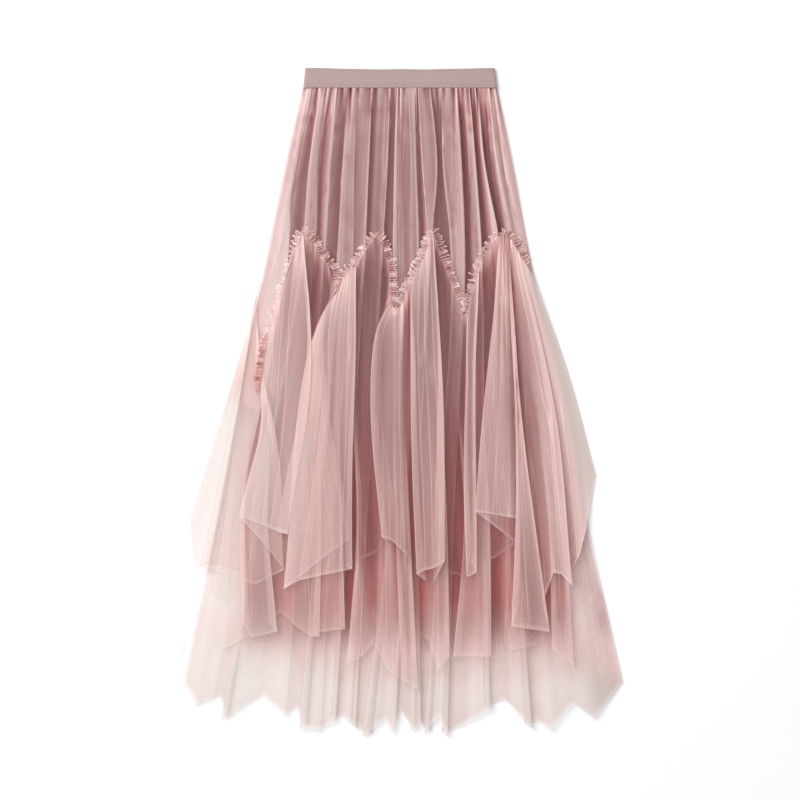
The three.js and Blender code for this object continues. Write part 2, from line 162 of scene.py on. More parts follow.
class Graph:
    """A material under construction."""

    def __init__(self, name: str) -> None:
        """Starts an empty node material."""
        self.material = bpy.data.materials.new(name)
        self.material.use_nodes = True
        self.tree = self.material.node_tree
        self.tree.nodes.clear()

    def node(self, kind: str, settings: Optional[dict] = None, sockets: Optional[dict] = None,
             output: Union[int, str] = 0) -> Value:
        """Adds a node.

        Args:
            kind: Blender's type of the node.
            settings: its properties, which are set first.
            sockets: values or links of its inputs, by name or number.
            output: which output to return.

        Returns:
            The output, as a value.
        """
        made = self.tree.nodes.new(kind)
        for key, value in (settings or {}).items():
            setattr(made, key, value)
        for key, value in (sockets or {}).items():
            if isinstance(value, Value):
                self.tree.links.new(value.socket, made.inputs[key])
            else:
                made.inputs[key].default_value = value
        return Value(self, made.outputs[output] if len(made.outputs) else None)

    def blend(self, share: Number, low: Union[Value, Colour], high: Union[Value, Colour]) -> Value:
        """Mixes two colours.

        Args:
            share: how much of `high` there is, from 0 to 1.
            low, high: the colours at 0 and at 1.

        Returns:
            The mixed colour.
        """
        made = self.tree.nodes.new("ShaderNodeMix")
        made.data_type = "RGBA"
        for socket, value in ((made.inputs[0], share), (made.inputs[6], low), (made.inputs[7], high)):
            if isinstance(value, Value):
                self.tree.links.new(value.socket, socket)
            else:
                socket.default_value = (*value, 1.0) if isinstance(value, tuple) else value
        return Value(self, made.outputs[2])

    def cloth(self) -> Tuple[Value, Value, Value]:
        """Returns the threads in the cloth, its light between folds and its edges, as painted on it."""
        paint = self.node("ShaderNodeAttribute", {"attribute_name": Cloth.PAINT})
        made = self.tree.nodes.new("ShaderNodeSeparateColor")
        self.tree.links.new(paint.socket, made.inputs[0])
        return tuple(Value(self, made.outputs[k]) for k in range(3))

    def place(self, scale: Tuple[float, float]) -> Value:
        """The cloth's own coordinates in metres, times a scale across it and one along it."""
        uv = self.node("ShaderNodeUVMap", {"uv_map": Cloth.UV})
        return self.node("ShaderNodeVectorMath", {"operation": "MULTIPLY"}, {0: uv, 1: (*scale, 0.0)})

    def grain(self, scale: Tuple[float, float], detail: float = 2.0) -> Value:
        """Noise in the cloth's own coordinates, `scale` to a metre across and along it."""
        sockets = {"Vector": self.place(scale), "Scale": 1.0, "Detail": detail}
        return self.node("ShaderNodeTexNoise", {"noise_dimensions": "2D"}, sockets)

    def bump(self, height: Value, distance: float, strength: float = 1.0) -> Value:
        """A normal from a height."""
        sockets = {"Height": height, "Distance": distance, "Strength": strength}
        return self.node("ShaderNodeBump", {}, sockets)

    def finish(self, sockets: dict) -> bpy.types.Material:
        """Ends the material in a Principled shader with these sockets."""
        shader = self.node("ShaderNodeBsdfPrincipled", {}, sockets)
        self.node("ShaderNodeOutputMaterial", {}, {"Surface": shader})
        return self.material


# Finishes


@dataclass(frozen=True)
class NetFinish:
    """Soft dusty pink tulle: the more threads lie together, the less shows through."""

    name: str
    single: float = 0.2
    # Colours picked by the painted light channel: deep for painted shade in fold hollows, middle between,
    # light for lit ridges
    light: Colour = (0.79, 0.565, 0.535)
    middle: Colour = (0.55, 0.28, 0.27)
    deep: Colour = (0.24, 0.065, 0.068)
    # For net with no lining behind: pale for few layers, and a greyer colour for many layers, partly the
    # net's own grey and partly painted shade
    pale: Colour = (0.84, 0.755, 0.715)
    pale_many_shaded: Colour = (0.61, 0.53, 0.49)
    # Painted highlight for folded edges and hems, which are also more opaque
    edge: Colour = (0.90, 0.74, 0.71)
    streak: Tuple[float, float] = (60.0, 2.2)
    fine_streak: Tuple[float, float] = (420.0, 240.0)
    crease: Tuple[float, float] = (48.0, 2.0)
    mesh: Tuple[float, float] = (520.0, 440.0)

    def build(self) -> bpy.types.Material:
        """Makes the material."""
        g = Graph(self.name)
        threads, light, edge = g.cloth()
        streak = g.grain(self.streak, 0.0).between(0.25, 0.75)
        fine = g.grain(self.fine_streak, 0.0).between(0.25, 0.75)
        wander = g.grain(self.crease, 1.0)
        in_folds = 1 - light.between(Cloth.FULL_LIGHT, 0.95)
        # Thin creases: more opaque where the cloth folds, and lighter as a painted highlight
        crease = wander.between(0.475, 0.5) * (1 - wander.between(0.5, 0.525)) * in_folds
        cells = g.node("ShaderNodeTexVoronoi", {"feature": "DISTANCE_TO_EDGE", "voronoi_dimensions": "2D"},
                       {"Vector": g.place(self.mesh), "Scale": 1.0})
        net = 1.12 - 0.3 * cells.between(0.05, 0.4)
        layers = threads * Cloth.MOST_THREADS * (0.94 + 0.08 * streak + 0.02 * fine) * net
        seen = 1 - (1 - self.single) ** layers
        alpha = (seen * (1 + 0.4 * crease) + 0.5 * edge).limited(0.0, 0.97)
        # Painted shade and light: the colour runs from deep in the shaded hollows through middle to light on
        # the lit ridges; the streaks add the net's own uneven tone and the creases a painted highlight
        grain = 0.045 * (streak - 0.5) + 0.02 * (fine - 0.5) + 0.22 * crease
        shade = (light.between(0.12, 0.78) + grain).limited(0.0, 1.0)
        low = g.blend(shade.between(0.0, 0.55), self.deep, self.middle)
        folded = g.blend(shade.between(0.45, 1.0), low, self.light)
        # Net with no lining behind: greyer where many layers lie together, partly its own grey and partly
        # painted shade
        unlined = g.blend(threads.between(0.3, 0.75), self.pale, self.pale_many_shaded)
        # Painted highlight: folded edges and hems take the edge colour
        colour = g.blend(edge, g.blend(light.between(Cloth.FULL_LIGHT, 1.0), folded, unlined), self.edge)
        relief = streak + 0.3 * fine
        return g.finish({
            "Base Color": colour,
            "Alpha": alpha,
            "Roughness": 0.75,
            "Sheen Weight": 0.25,
            "Sheen Roughness": 0.4,
            "Normal": g.bump(relief, 0.0004, 0.4),
        })


@dataclass(frozen=True)
class LiningFinish:
    """Smooth rose lining with a soft sheen, mauve at the waist and warmer and finer towards its hem."""

    name: str = "lining_cloth"
    light: Colour = (0.34, 0.175, 0.18)
    deep: Colour = (0.13, 0.05, 0.055)
    warm: Colour = (0.50, 0.12, 0.10)
    hem: Colour = (0.80, 0.55, 0.51)

    def build(self) -> bpy.types.Material:
        """Makes the material."""
        g = Graph(self.name)
        fade, light, down = g.cloth()
        soft = g.grain((9.0, 2.0))
        weave = g.grain((2400.0, 1500.0), 0.0)
        cloth = g.blend(down.between(0.4, 0.8), self.light, self.warm)
        # Painted shade: the lining darkens towards deep in its fold hollows, its troughs and behind the
        # tiers; the soft noise is its own uneven tone
        colour = g.blend((light * (0.75 + 0.5 * soft)).limited(0.0, 1.0), self.deep, cloth)
        return g.finish({
            "Base Color": g.blend(down.between(0.88, 1.0), colour, self.hem),
            "Alpha": fade,
            "Roughness": 0.48 + 0.12 * soft,
            "Sheen Weight": 0.3,
            "Normal": g.bump(weave, 0.0001, 0.5),
        })


@dataclass(frozen=True)
class ElasticFinish:
    """Covered elastic with fine lengthwise ribs."""

    name: str = "ribbed_elastic"
    light: Colour = (0.40, 0.287, 0.282)
    deep: Colour = (0.22, 0.15, 0.15)
    ribs: float = 640.0

    def build(self) -> bpy.types.Material:
        """Makes the material."""
        g = Graph(self.name)
        _, light, _ = g.cloth()
        lines = g.grain((0.0, self.ribs), 1.0)
        slubs = g.grain((60.0, 700.0))
        cloudy = g.grain((14.0, 30.0))
        tone = light * (0.62 + 0.3 * lines + 0.2 * slubs + 0.18 * cloudy)
        return g.finish({
            "Base Color": g.blend(tone.limited(0.0, 1.0), self.deep, self.light),
            "Roughness": 0.8,
            "Sheen Weight": 0.3,
            "Normal": g.bump(lines + 0.6 * slubs, 0.0003, 0.7),
        })


@dataclass(frozen=True)
class ThreadFinish:
    """Twisted sewing thread."""

    name: str = "sewing_thread"
    light: Colour = (0.62, 0.30, 0.27)
    deep: Colour = (0.46, 0.18, 0.16)

    def build(self) -> bpy.types.Material:
        """Makes the material."""
        g = Graph(self.name)
        place = g.node("ShaderNodeTexCoord", {}, {}, "Object")
        twist = g.node("ShaderNodeTexNoise", {}, {"Vector": place, "Scale": 900.0})
        return g.finish({
            "Base Color": g.blend(twist, self.deep, self.light),
            "Roughness": 0.6,
            "Normal": g.bump(twist, 0.0002, 0.5),
        })


@dataclass(frozen=True)
class FloorFinish:
    """Plain white studio floor."""

    name: str = "studio_floor"
    white: Colour = (0.93, 0.93, 0.93)

    def build(self) -> bpy.types.Material:
        """Makes the material."""
        return Graph(self.name).finish({"Base Color": (*self.white, 1.0), "Roughness": 0.9})


# Cloth meshes


class HeightField:
    """How high the cloth that has been laid so far reaches, on a grid over the floor."""

    CELL = 2.0
    LOW = (-330.0, -490.0)
    SHAPE = (331, 491)
    COVERED_BY = 1.2
    COVERED_LIGHT = 0.85

    def __init__(self) -> None:
        """Starts with the bare floor."""
        self.top = np.zeros(self.SHAPE)

    def _cells(self, x: Array, y: Array) -> Tuple[Array, Array]:
        """Grid places of points, as fractions."""
        i = np.clip((x - self.LOW[0]) / self.CELL, 0, self.SHAPE[0] - 1.001)
        j = np.clip((y - self.LOW[1]) / self.CELL, 0, self.SHAPE[1] - 1.001)
        return i, j

    def read(self, grid: Array, x: Array, y: Array) -> Array:
        """Reads a grid at points, also between its cells.

        Args:
            grid: one value for each cell.
            x, y: the points.

        Returns:
            The values there.
        """
        i, j = self._cells(x, y)
        a, b = i.astype(int), j.astype(int)
        s, t = i - a, j - b
        low = grid[a, b] * (1 - s) + grid[a + 1, b] * s
        high = grid[a, b + 1] * (1 - s) + grid[a + 1, b + 1] * s
        return low * (1 - t) + high * t

    def lay(self, x: Array, y: Array, z: Array) -> None:
        """Adds a sheet of cloth, filled in between its points."""
        steps = np.linspace(0, 1, 4, endpoint=False)
        for s in steps:
            for t in steps:
                corners = [(1 - s) * (1 - t), s * (1 - t), (1 - s) * t, s * t]
                mixed = [
                    c[:-1, :-1] * corners[0] + c[:-1, 1:] * corners[1]
                    + c[1:, :-1] * corners[2] + c[1:, 1:] * corners[3]
                    for c in (x, y, z)
                ]
                i, j = self._cells(mixed[0], mixed[1])
                np.maximum.at(self.top, (np.rint(i).astype(int), np.rint(j).astype(int)), mixed[2])

    def bed(self, reach: int = 4, blur: int = 5) -> Array:
        """The height that another sheet takes over this: raised round each high place, then smoothed.

        Args:
            reach: how many cells away a high place still lifts the sheet.
            blur: how many cells to each side the height is evened out over.

        Returns:
            One height for each cell.
        """
        grid = self.top.copy()
        for axis, width in ((0, reach), (1, reach)):
            grid = np.max([np.roll(grid, k, axis) for k in range(-width, width + 1)], axis=0)
        for axis in (0, 1):
            for _ in range(2):
                grid = np.mean([np.roll(grid, k, axis) for k in range(-blur, blur + 1)], axis=0)
        return np.maximum(grid, self.top)

    def light(self, own: Array, x: Array, y: Array, z: Array, sight: int = 14, steep: float = 1.7) -> Array:
        """How much of the sky each point of a sheet sees between the folds of that sheet.

        Args:
            own: heights of the sheet alone.
            x, y, z: the sheet's points.
            sight: how many cells away a fold can stand in the way.
            steep: how much taller than they are the folds count.

        Returns:
            Shares from 0 to 1.
        """
        sky = np.zeros(own.shape)
        for way in (-1, 1):
            rise = np.zeros(own.shape)
            for k in range(1, sight + 1):
                rise = np.maximum(rise, (np.roll(own, -way * k, 0) - own) / (k * self.CELL))
            sky += 0.5 * (1 - np.arctan(rise * steep) / (math.pi / 2))
        open_share = self.read(sky, x, y)
        covered = self.read(own, x, y) - z > self.COVERED_BY
        return np.where(covered, self.COVERED_LIGHT + (1 - self.COVERED_LIGHT) * open_share, open_share)


@dataclass
class Cloth:
    """One sheet of cloth as a grid of points, rows along it and columns across it."""

    name: str
    x: Array
    y: Array
    z: Array
    across: Array
    threads: Array
    # light: painted light and shade; edge: painted highlight on folded edges and hems, where the lining
    # carries its share down its length instead
    light: Array
    edge: Array
    fullness: Optional[Array] = None

    PAINT = "cloth_paint"
    UV = "Cloth"
    MOST_THREADS = 6.0
    MOST_GATHERED = 1.6
    FULL_LIGHT = 0.84
    SHORTEST_STRIP = 10.1

    def build(self, closed: bool = False) -> bpy.types.Object:
        """Makes the mesh with its painted values and its own coordinates.

        Args:
            closed: whether the last column joins the first.

        Returns:
            The object.
        """
        rows, columns = self.x.shape
        points = np.stack([self.x, self.y, self.z], -1).reshape(-1, 3) * MM
        index = np.arange(rows * columns).reshape(rows, columns)
        right = np.roll(index, -1, 1) if closed else index[:, 1:]
        left = index if closed else index[:, :-1]
        quads = np.stack([left[:-1], left[1:], right[1:], right[:-1]], -1).reshape(-1, 4)
        mesh = bpy.data.meshes.new(self.name)
        mesh.from_pydata(points.tolist(), [], quads.tolist())
        paint = mesh.attributes.new(self.PAINT, "FLOAT_COLOR", "POINT")
        values = [np.clip(v, 0, 1).ravel() for v in (self.threads / self.MOST_THREADS, self.light, self.edge)]
        colours = np.stack([*values, np.ones(points.shape[0])], -1)
        paint.data.foreach_set("color", colours.ravel())
        length = np.concatenate([[0.0], np.cumsum(np.hypot(
            np.diff(self.y.mean(1)), np.diff(self.x.mean(1))))])
        along = np.repeat(length[:, None], columns, 1)
        cloth = np.stack([np.broadcast_to(self.across, self.x.shape), along], -1).reshape(-1, 2) * MM
        corners = np.empty(len(mesh.loops), dtype=np.int32)
        mesh.loops.foreach_get("vertex_index", corners)
        uv = mesh.uv_layers.new(name=self.UV)
        uv.data.foreach_set("uv", cloth[corners].ravel())
        mesh.polygons.foreach_set("use_smooth", np.ones(len(mesh.polygons), dtype=bool))
        made = bpy.data.objects.new(self.name, mesh)
        bpy.context.collection.objects.link(made)
        return made

    def _row_width(self, row: int) -> float:
        """Width of the cloth along one row, with the gathers let out."""
        steps = np.hypot(np.diff(self.x[row]), np.diff(self.z[row]))
        full = np.ones_like(self.x[row]) if self.fullness is None else self.fullness[row]
        return float(np.sum(steps * np.clip((full[1:] + full[:-1]) / 2, 1, self.MOST_GATHERED)))

    def cut(self) -> Tuple[float, float, float]:
        """Width, length and area of the flat cloth, in metres, with the gathers let out."""
        lengths = np.sum(np.hypot(np.diff(self.x, axis=0), np.diff(self.y, axis=0)), 0)
        widths = [self._row_width(row) for row in (0, len(self.x) // 2, len(self.x) - 1)]
        area = float(np.mean(lengths)) * (widths[0] + 2 * widths[1] + widths[2]) / 4
        return max(widths) * MM, float(np.max(lengths)) * MM, area * MM * MM

    def strip_cut(self) -> Tuple[float, float, float]:
        """The same for a narrow strip that is gathered along its whole length."""
        lengths = np.sum(np.hypot(np.diff(self.x, axis=0), np.diff(self.y, axis=0)), 0)
        steps = np.diff(self.x, axis=1) ** 2 + np.diff(self.y, axis=1) ** 2 + np.diff(self.z, axis=1) ** 2
        width = float(np.mean(np.sum(np.sqrt(steps), 1)))
        longest = max(float(np.percentile(lengths, 95)), self.SHORTEST_STRIP)
        area = max(float(np.mean(lengths)), 0.35 * longest) * width
        return width * MM, longest * MM, area * MM * MM


@dataclass(frozen=True)
class HemShadow:
    """The shade that an upper layer throws behind itself, below its seam, and for a way below its hem."""

    seam: Sequence[Tuple[float, float]]
    x: Array
    y: Array
    depth: float
    reach: float

    FROM_SEAM = 70.0

    def __call__(self, x: Array, y: Array) -> Array:
        """Shares of the light that it leaves at the points x, y."""
        below = np.maximum(np.interp(x, self.x, self.y) - y, 0.0)
        inside = ramp(seam_at(self.seam, x) - y, 0.0, self.FROM_SEAM)
        return 1 - self.depth * inside * np.exp(-below / self.reach)


class Kind(Enum):
    """How a fold line lies."""

    SOFT = "s"
    LEFT = "l"
    RIGHT = "r"


@dataclass(frozen=True)
class FoldLine:
    """One fold line of a gathered sheet.

    `stations` are the shares of its length at which `places` gives its x. `top` and `hem` are its y at
    both ends, and `stand` is how far it stands up, from 0 to 1. A left or right fold has its edge on top,
    and the cloth turns back under it to `tuck`, the x and y at the hem of the hidden fold. `billow` is
    how far the line swings out below the seam.
    """

    stations: Tuple[float, ...]
    places: Tuple[float, ...]
    top: float
    hem: float
    stand: float
    kind: Kind = Kind.SOFT
    tuck: Tuple[float, float] = (0.0, 0.0)
    billow: float = 0.0


@dataclass(frozen=True)
class Depths:
    """How deep a sheet's folds are down its length, in millimetres."""

    stations: Tuple[float, ...]
    folds: Tuple[float, ...]
    gathers: Waves
    gather_fade: float
    ripples: Waves
    fullness: float
    # Painted shade: tone darkens the low parts of the folds, and calm lightens that shade towards the hem as
    # painted light; calm with hem_fullness also fills the hem out
    tone: float = 0.5
    calm: float = 0.0
    hem_fullness: float = 0.0
    fade_in: float = 0.0
    swing: float = 0.2
    sway: float = 0.0
    hollow: float = 0.0
    # pinch: painted shade in the gathers below the seam, with the folds' shade lightened right at the seam
    pinch: float = 0.0
    trough_pitch: float = 0.0
    trough_depth: float = 0.8
    left_light: float = 0.74
    right_shade: float = 0.0
    left_fullness: float = 0.0
    side_fullness: float = 0.7
    # hem_line: painted highlight along the hem, which is also more opaque
    hem_line: float = 0.3
    covered: Tuple[float, float, float] = (0.0, 1.0, 0.0)
    faint_left: float = -1000.0
    thin_side: float = 1.0
    full_right: float = 1.0
    side_reach: float = 42.0
    right_reach: float = 80.0
    hidden: float = 0.32
    crown: float = 0.16
    smallest_tuck: float = 1.5

    def troughs(self, top_x: Array, from_top: Array) -> Array:
        """Narrow troughs that the seam pinches into the cloth, from 1 at the seam to 0 down the cloth.

        Args:
            top_x: x of each column at the seam.
            from_top: how far each point is from the seam.

        Returns:
            Shares from 0 to 1, all 0 on a sheet without such troughs.
        """
        pitch = self.trough_pitch
        if not pitch:
            return np.zeros_like(from_top)
        count = top_x / pitch + 0.2 * Waves(3.7 * pitch, 1.0, 17)(top_x)
        narrow = ramp(np.sin(2 * math.pi * count), 0.25, 1.0)
        length = pitch * (2.4 + 1.1 * Waves(2.3 * pitch, 1.0, 18)(top_x))
        return narrow * np.exp(-(from_top / np.maximum(length, pitch)) ** 1.5)


@dataclass
class GatheredSheet:
    """A gathered sheet, followed across through its fold lines, over and under itself."""

    name: str
    lines: Sequence[FoldLine]
    depths: Depths
    rows: int
    step: float
    shadows: Sequence[HemShadow] = ()
    beside: float = 0.8

    # Where light and fullness change, as x or y at none and at all of the change
    CALM_Y = (-280.0, -415.0)
    LIT_X = (-60.0, -190.0)
    LIT_Y = (200.0, -60.0)
    SHADED_X = (105.0, 150.0)
    SHADED_Y = (-160.0, 20.0)
    BARE_Y = (60.0, -60.0)
    FULL_HEM_Y = (-290.0, -390.0)
    LOBE_X = (-150.0, -200.0)
    LOBE_LOW_Y = (-20.0, 40.0)
    LOBE_HIGH_Y = (150.0, 220.0)
    FLAP_X = (-90.0, -150.0)
    FLAP_EDGE_X = (-235.0, -205.0)

    SEAM_REACH = 18.0
    TROUGH_SHADE = 0.62

    def _nodes(self, shares: Array) -> Tuple[Array, Array, Array, Array]:
        """Places of all fold lines and hidden folds in the order in which the cloth runs.

        Args:
            shares: the rows, from 0 at the top to 1 at the hem.

        Returns:
            x, y and height, by row and line, and whether each line is a folded edge.
        """
        depth = smooth_through(self.depths.stations, self.depths.folds, shares)
        xs, ys, zs, edges = [], [], [], []
        for line in self.lines:
            swing = shares / self.depths.swing
            x = smooth_through(line.stations, line.places, shares) + line.billow * swing * np.exp(1 - swing)
            y = line.top + (line.hem - line.top) * shares
            crest = 1.0 if line.kind is not Kind.SOFT else 0.45 * float(line.stand >= 0.8)
            edge = (x, y, line.stand * depth, crest)
            order = [edge]
            if line.kind is not Kind.SOFT:
                side = 1.0 if line.kind is Kind.LEFT else -1.0
                width = abs(line.tuck[0] - line.places[-1]) - self.depths.smallest_tuck
                under = x + side * (self.depths.smallest_tuck + width * shares)
                under_y = line.top + (line.tuck[1] - line.top) * shares
                hidden = (under, under_y, self.depths.hidden * depth, 0.0)
                order = [hidden, edge] if line.kind is Kind.LEFT else [edge, hidden]
            for x_at, y_at, z_at, crest_at in order:
                xs.append(x_at)
                ys.append(y_at)
                zs.append(np.broadcast_to(z_at, shares.shape))
                edges.append(crest_at)
        return np.array(xs).T, np.array(ys).T, np.array(zs).T, np.array(edges)

    def lay(self, field_below: HeightField, gap: float, floor: Optional[float] = None) -> Cloth:
        """Lays the sheet over what is there already and adds it to that.

        Args:
            field_below: what is there.
            gap: how far above it the sheet lies.
            floor: a fixed height to lie at instead.

        Returns:
            The sheet.
        """
        shares = np.concatenate([np.linspace(0, 1, self.rows) ** 0.9, [1.0]])
        shares[-2] = 1.0 - 1.2 / abs(self.lines[0].hem - self.lines[0].top)
        xs, ys, zs, edges = self._nodes(shares)
        columns: List[List[Array]] = [[], [], [], [], [], []]
        run = 0.0
        depth = smooth_through(self.depths.stations, self.depths.folds, shares)
        for k in range(xs.shape[1] - 1):
            widths = np.abs(xs[:, k + 1] - xs[:, k])
            cut = max(float(np.hypot(xs[-1, k + 1] - xs[-1, k], 0.35 * (ys[-1, k + 1] - ys[-1, k]))), 2.0)
            count = max(2, int(math.ceil(float(np.max(widths)) / self.step)))
            high = min(zs[:, k].max(), zs[:, k + 1].max()) > 0.5 * depth.max()
            low = max(zs[:, k].max(), zs[:, k + 1].max()) < 0.5 * depth.max()
            crown = self.depths.crown * (1.0 if high else -1.0 if low else 0.0)
            places = [n / count for n in range(count)]
            beside = self.beside / max(float(np.max(widths)), 4 * self.beside)
            if edges[k]:
                places.insert(1, beside)
            if edges[k + 1]:
                places.append(1 - beside)
            for t in places:
                lift = t * t * (3 - 2 * t)
                columns[0].append(xs[:, k] * (1 - t) + xs[:, k + 1] * t)
                columns[1].append(ys[:, k] * (1 - t) + ys[:, k + 1] * t)
                bulge = crown * depth * 4 * t * (1 - t)
                columns[2].append(np.maximum(zs[:, k] * (1 - lift) + zs[:, k + 1] * lift + bulge, 0.0))
                columns[3].append(np.full(shares.shape, run + cut * t))
                columns[4].append(np.clip(cut / np.maximum(widths, 0.6), 0.8, 3.2))
                columns[5].append(np.full(shares.shape, edges[k] if t == 0 else 0.0))
            run += cut
        last = xs.shape[1] - 1
        for slot, values in enumerate((xs[:, last], ys[:, last], zs[:, last])):
            columns[slot].append(values)
        columns[3].append(np.full(shares.shape, run))
        columns[4].append(columns[4][-1])
        columns[5].append(np.zeros(shares.shape))
        x, y, z, across, threads, fold_edge = (np.array(column).T for column in columns)
        return self._finish(x, y, z, across, threads, fold_edge, shares, field_below, gap, floor)

    def _finish(self, x: Array, y: Array, z: Array, across: Array, threads: Array, fold_edge: Array,
                shares: Array, below: HeightField, gap: float, floor: Optional[float]) -> Cloth:
        """Adds gathers, ripples, the bed's height, light and edges to a sheet's points.

        Args:
            x, y, z: the points, with the sheet's large folds alone.
            across: the cloth's own coordinate across it.
            threads: how much cloth lies together at each point.
            fold_edge: how far each point is part of a folded edge, from 0 to 1.
            shares: the rows, from 0 at the top to 1 at the hem.
            below: what the sheet is laid on, and added to.
            gap: how far above it the sheet lies.
            floor: a fixed height to lie at instead.

        Returns:
            The sheet.
        """
        depths = self.depths
        from_top = shares[:, None] * np.abs(y[-1] - y[0])[None, :]
        fade = np.exp(-from_top / depths.gather_fade)
        depth = smooth_through(depths.stations, depths.folds, shares)[:, None]
        stand = z / depth
        gather = depths.gathers(across)
        troughs = depths.troughs(x[0], from_top)
        z = z + gather * fade - depths.trough_depth * troughs
        z = z + depths.ripples(across + 6 * shares[:, None]) * ramp(shares, 0.02, 0.3)[:, None]
        z = np.maximum(z, 0.0)
        side = np.minimum(np.abs(x - x[:, :1]), np.abs(x - x[:, -1:]))
        sway = Waves(90.0, depths.sway, 91)(across) * np.sin(math.pi * (1.7 * shares + 0.15))[:, None]
        x = x + sway * ramp(side, 0.0, 30.0) * ramp(shares, 0.0, 0.3)[:, None]
        z = z * (0.25 + 0.75 * ramp(side, 0.0, 26.0))
        z = z + floor if floor is not None else z + below.read(below.bed(), x, y) + gap
        faint = (x[0] < depths.faint_left)[None, :] * (1 - ramp(shares, 0.1, 0.55))[:, None]
        # Painted shade: in the gathers near the seam, and in the low parts of the folds
        pinched = depths.pinch * ramp(-gather / depths.gathers.depth, 0.0, 0.85) * fade
        tone = 1 - depths.tone * (1 - ramp(stand, -0.1, 0.8))
        light = self._lit(x, y, z, tone, from_top, pinched, troughs)
        light = light + (0.88 - light) * faint
        light = light + (1.0 - light) * self._bare(x, y, side)
        below.lay(x, y, z)
        full = threads.copy()
        threads = np.minimum(threads, (3.4 - 1.6 * shares)[:, None])
        threads = self._smoothed(threads, 2) * (1 + depths.fullness * fade)
        threads = np.maximum(threads, 1.2 * self._smoothed(fold_edge, 1) + 1)
        threads = self._filled(x, y, threads, side, stand, shares, faint)
        # Painted highlight along the hem and the folded edges, which the finish also makes more opaque
        hem = np.zeros_like(x)
        hem[-2:] = depths.hem_line
        edge = np.maximum(hem, fold_edge * ramp(shares, 0.0, 0.12)[:, None])
        if depths.fade_in:
            threads = threads * ramp(from_top, 0.0, depths.fade_in)
            edge = edge * ramp(from_top, 0.0, depths.fade_in)
        return Cloth(self.name, x, y, z, across, threads, light, edge, full)

    def _lit(self, x: Array, y: Array, z: Array, tone: Array, from_top: Array, pinched: Array,
             troughs: Array) -> Array:
        """Light between the sheet's folds and gathers, behind the layers over it and by the side of it.

        Args:
            x, y, z: the sheet's points.
            tone: how light each point is for its height in its fold.
            from_top: how far each point is from the seam.
            pinched: how far it lies in a gather.
            troughs: how far it lies in a narrow trough.

        Returns:
            The light, up to FULL_LIGHT where there is lining and up to 1 without it.
        """
        depths = self.depths
        own = HeightField()
        own.lay(x, y, z)
        light = Cloth.FULL_LIGHT * self._smoothed(own.light(own.top, x, y, z) * tone, 1)
        if depths.pinch:
            seam_share = 0.5 * np.exp(-(from_top / self.SEAM_REACH) ** 2)
            light = light + (Cloth.FULL_LIGHT - light) * seam_share
        light = light * (1 - pinched) * (1 - self.TROUGH_SHADE * troughs)
        for shadow in self.shadows:
            light = light * shadow(x, y)
        light = light + (1 - light) * depths.calm * ramp(y, *self.CALM_Y)
        light = light + (1 - light) * depths.left_light * ramp(x, *self.LIT_X) * ramp(y, *self.LIT_Y)
        return light * (1 - depths.right_shade * ramp(x, *self.SHADED_X) * ramp(y, *self.SHADED_Y))

    def _bare(self, x: Array, y: Array, side: Array) -> Array:
        """How far each point shows no lining behind it, from 0 to 1, `side` millimetres from the side."""
        if self.depths.thin_side >= 1:
            return np.zeros_like(x)
        left, right = 0.25 + 0.67 * ramp(y, *self.BARE_Y), 0.92
        return (1 - ramp(side, 0.0, self.depths.side_reach)) * np.where(x > 0, right, left)

    def _filled(self, x: Array, y: Array, threads: Array, side: Array, stand: Array, shares: Array,
                faint: Array) -> Array:
        """Cloth that lies together at each point, fuller or thinner in the places where the photo shows it.

        Args:
            x, y: the sheet's points.
            threads: the cloth there from folds and gathers alone.
            side: how far each point is from the side of the sheet.
            stand: how far up its fold it is, from 0 to 1.
            shares: the rows, from 0 at the top to 1 at the hem.
            faint: how far each point is in the part that can hardly be seen.

        Returns:
            How much cloth there is.
        """
        depths = self.depths
        edges = np.where(x > 0, depths.full_right, depths.thin_side)
        reaches = np.where(x > 0, depths.right_reach, depths.side_reach)
        threads = threads * (edges + (1 - edges) * ramp(side / reaches, 0.0, 1.0))
        threads = threads * (1 - depths.hollow * self._smoothed(1 - ramp(stand, 0.0, 0.6), 2))
        start, end, share = depths.covered
        under = ramp(shares, start, start + 0.1) * (1 - ramp(shares, end - 0.1, end))
        threads = threads * (1 - share * under)[:, None] * (1 - 0.6 * faint)
        threads = threads * (1 + depths.calm * depths.hem_fullness * ramp(y, *self.FULL_HEM_Y))
        lobe = ramp(x, *self.LOBE_X) * ramp(y, *self.LOBE_LOW_Y) * (1 - ramp(y, *self.LOBE_HIGH_Y))
        threads = threads * (1 + depths.side_fullness * lobe)
        flap = ramp(x, *self.FLAP_X) * ramp(x, *self.FLAP_EDGE_X)
        return threads * (1 + depths.left_fullness * flap)

    @staticmethod
    def _smoothed(values: Array, width: int) -> Array:
        """Evens values out across the cloth."""
        return np.mean([np.roll(values, k, 1) for k in range(-width, width + 1)], axis=0)


# Sub-assemblies


def ship(piece: bpy.types.Object, material: bpy.types.Material, nodes: Sequence[str]) -> None:
    """Dresses a piece, lets it ride and hides the solids that it stands for.

    Args:
        piece: the piece.
        material: its material.
        nodes: the solids, or none where it has no solid of its own.
    """
    piece.data.materials.append(material)
    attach(piece, BODY)
    if nodes:
        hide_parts(*nodes)
    LOG.info("%s: %d faces", piece.name, len(piece.data.polygons))


def declare(piece: bpy.types.Object, cut: Tuple[float, float, float]) -> None:
    """States the flat cut of a sheet.

    Args:
        piece: the sheet.
        cut: its flat width, length and area, in metres.
    """
    width, length, area = cut
    round(min(area, width * length), 4)
    LOG.info("%s: cut %.3f by %.3f m, %.3f square metres", piece.name, width, length, area)


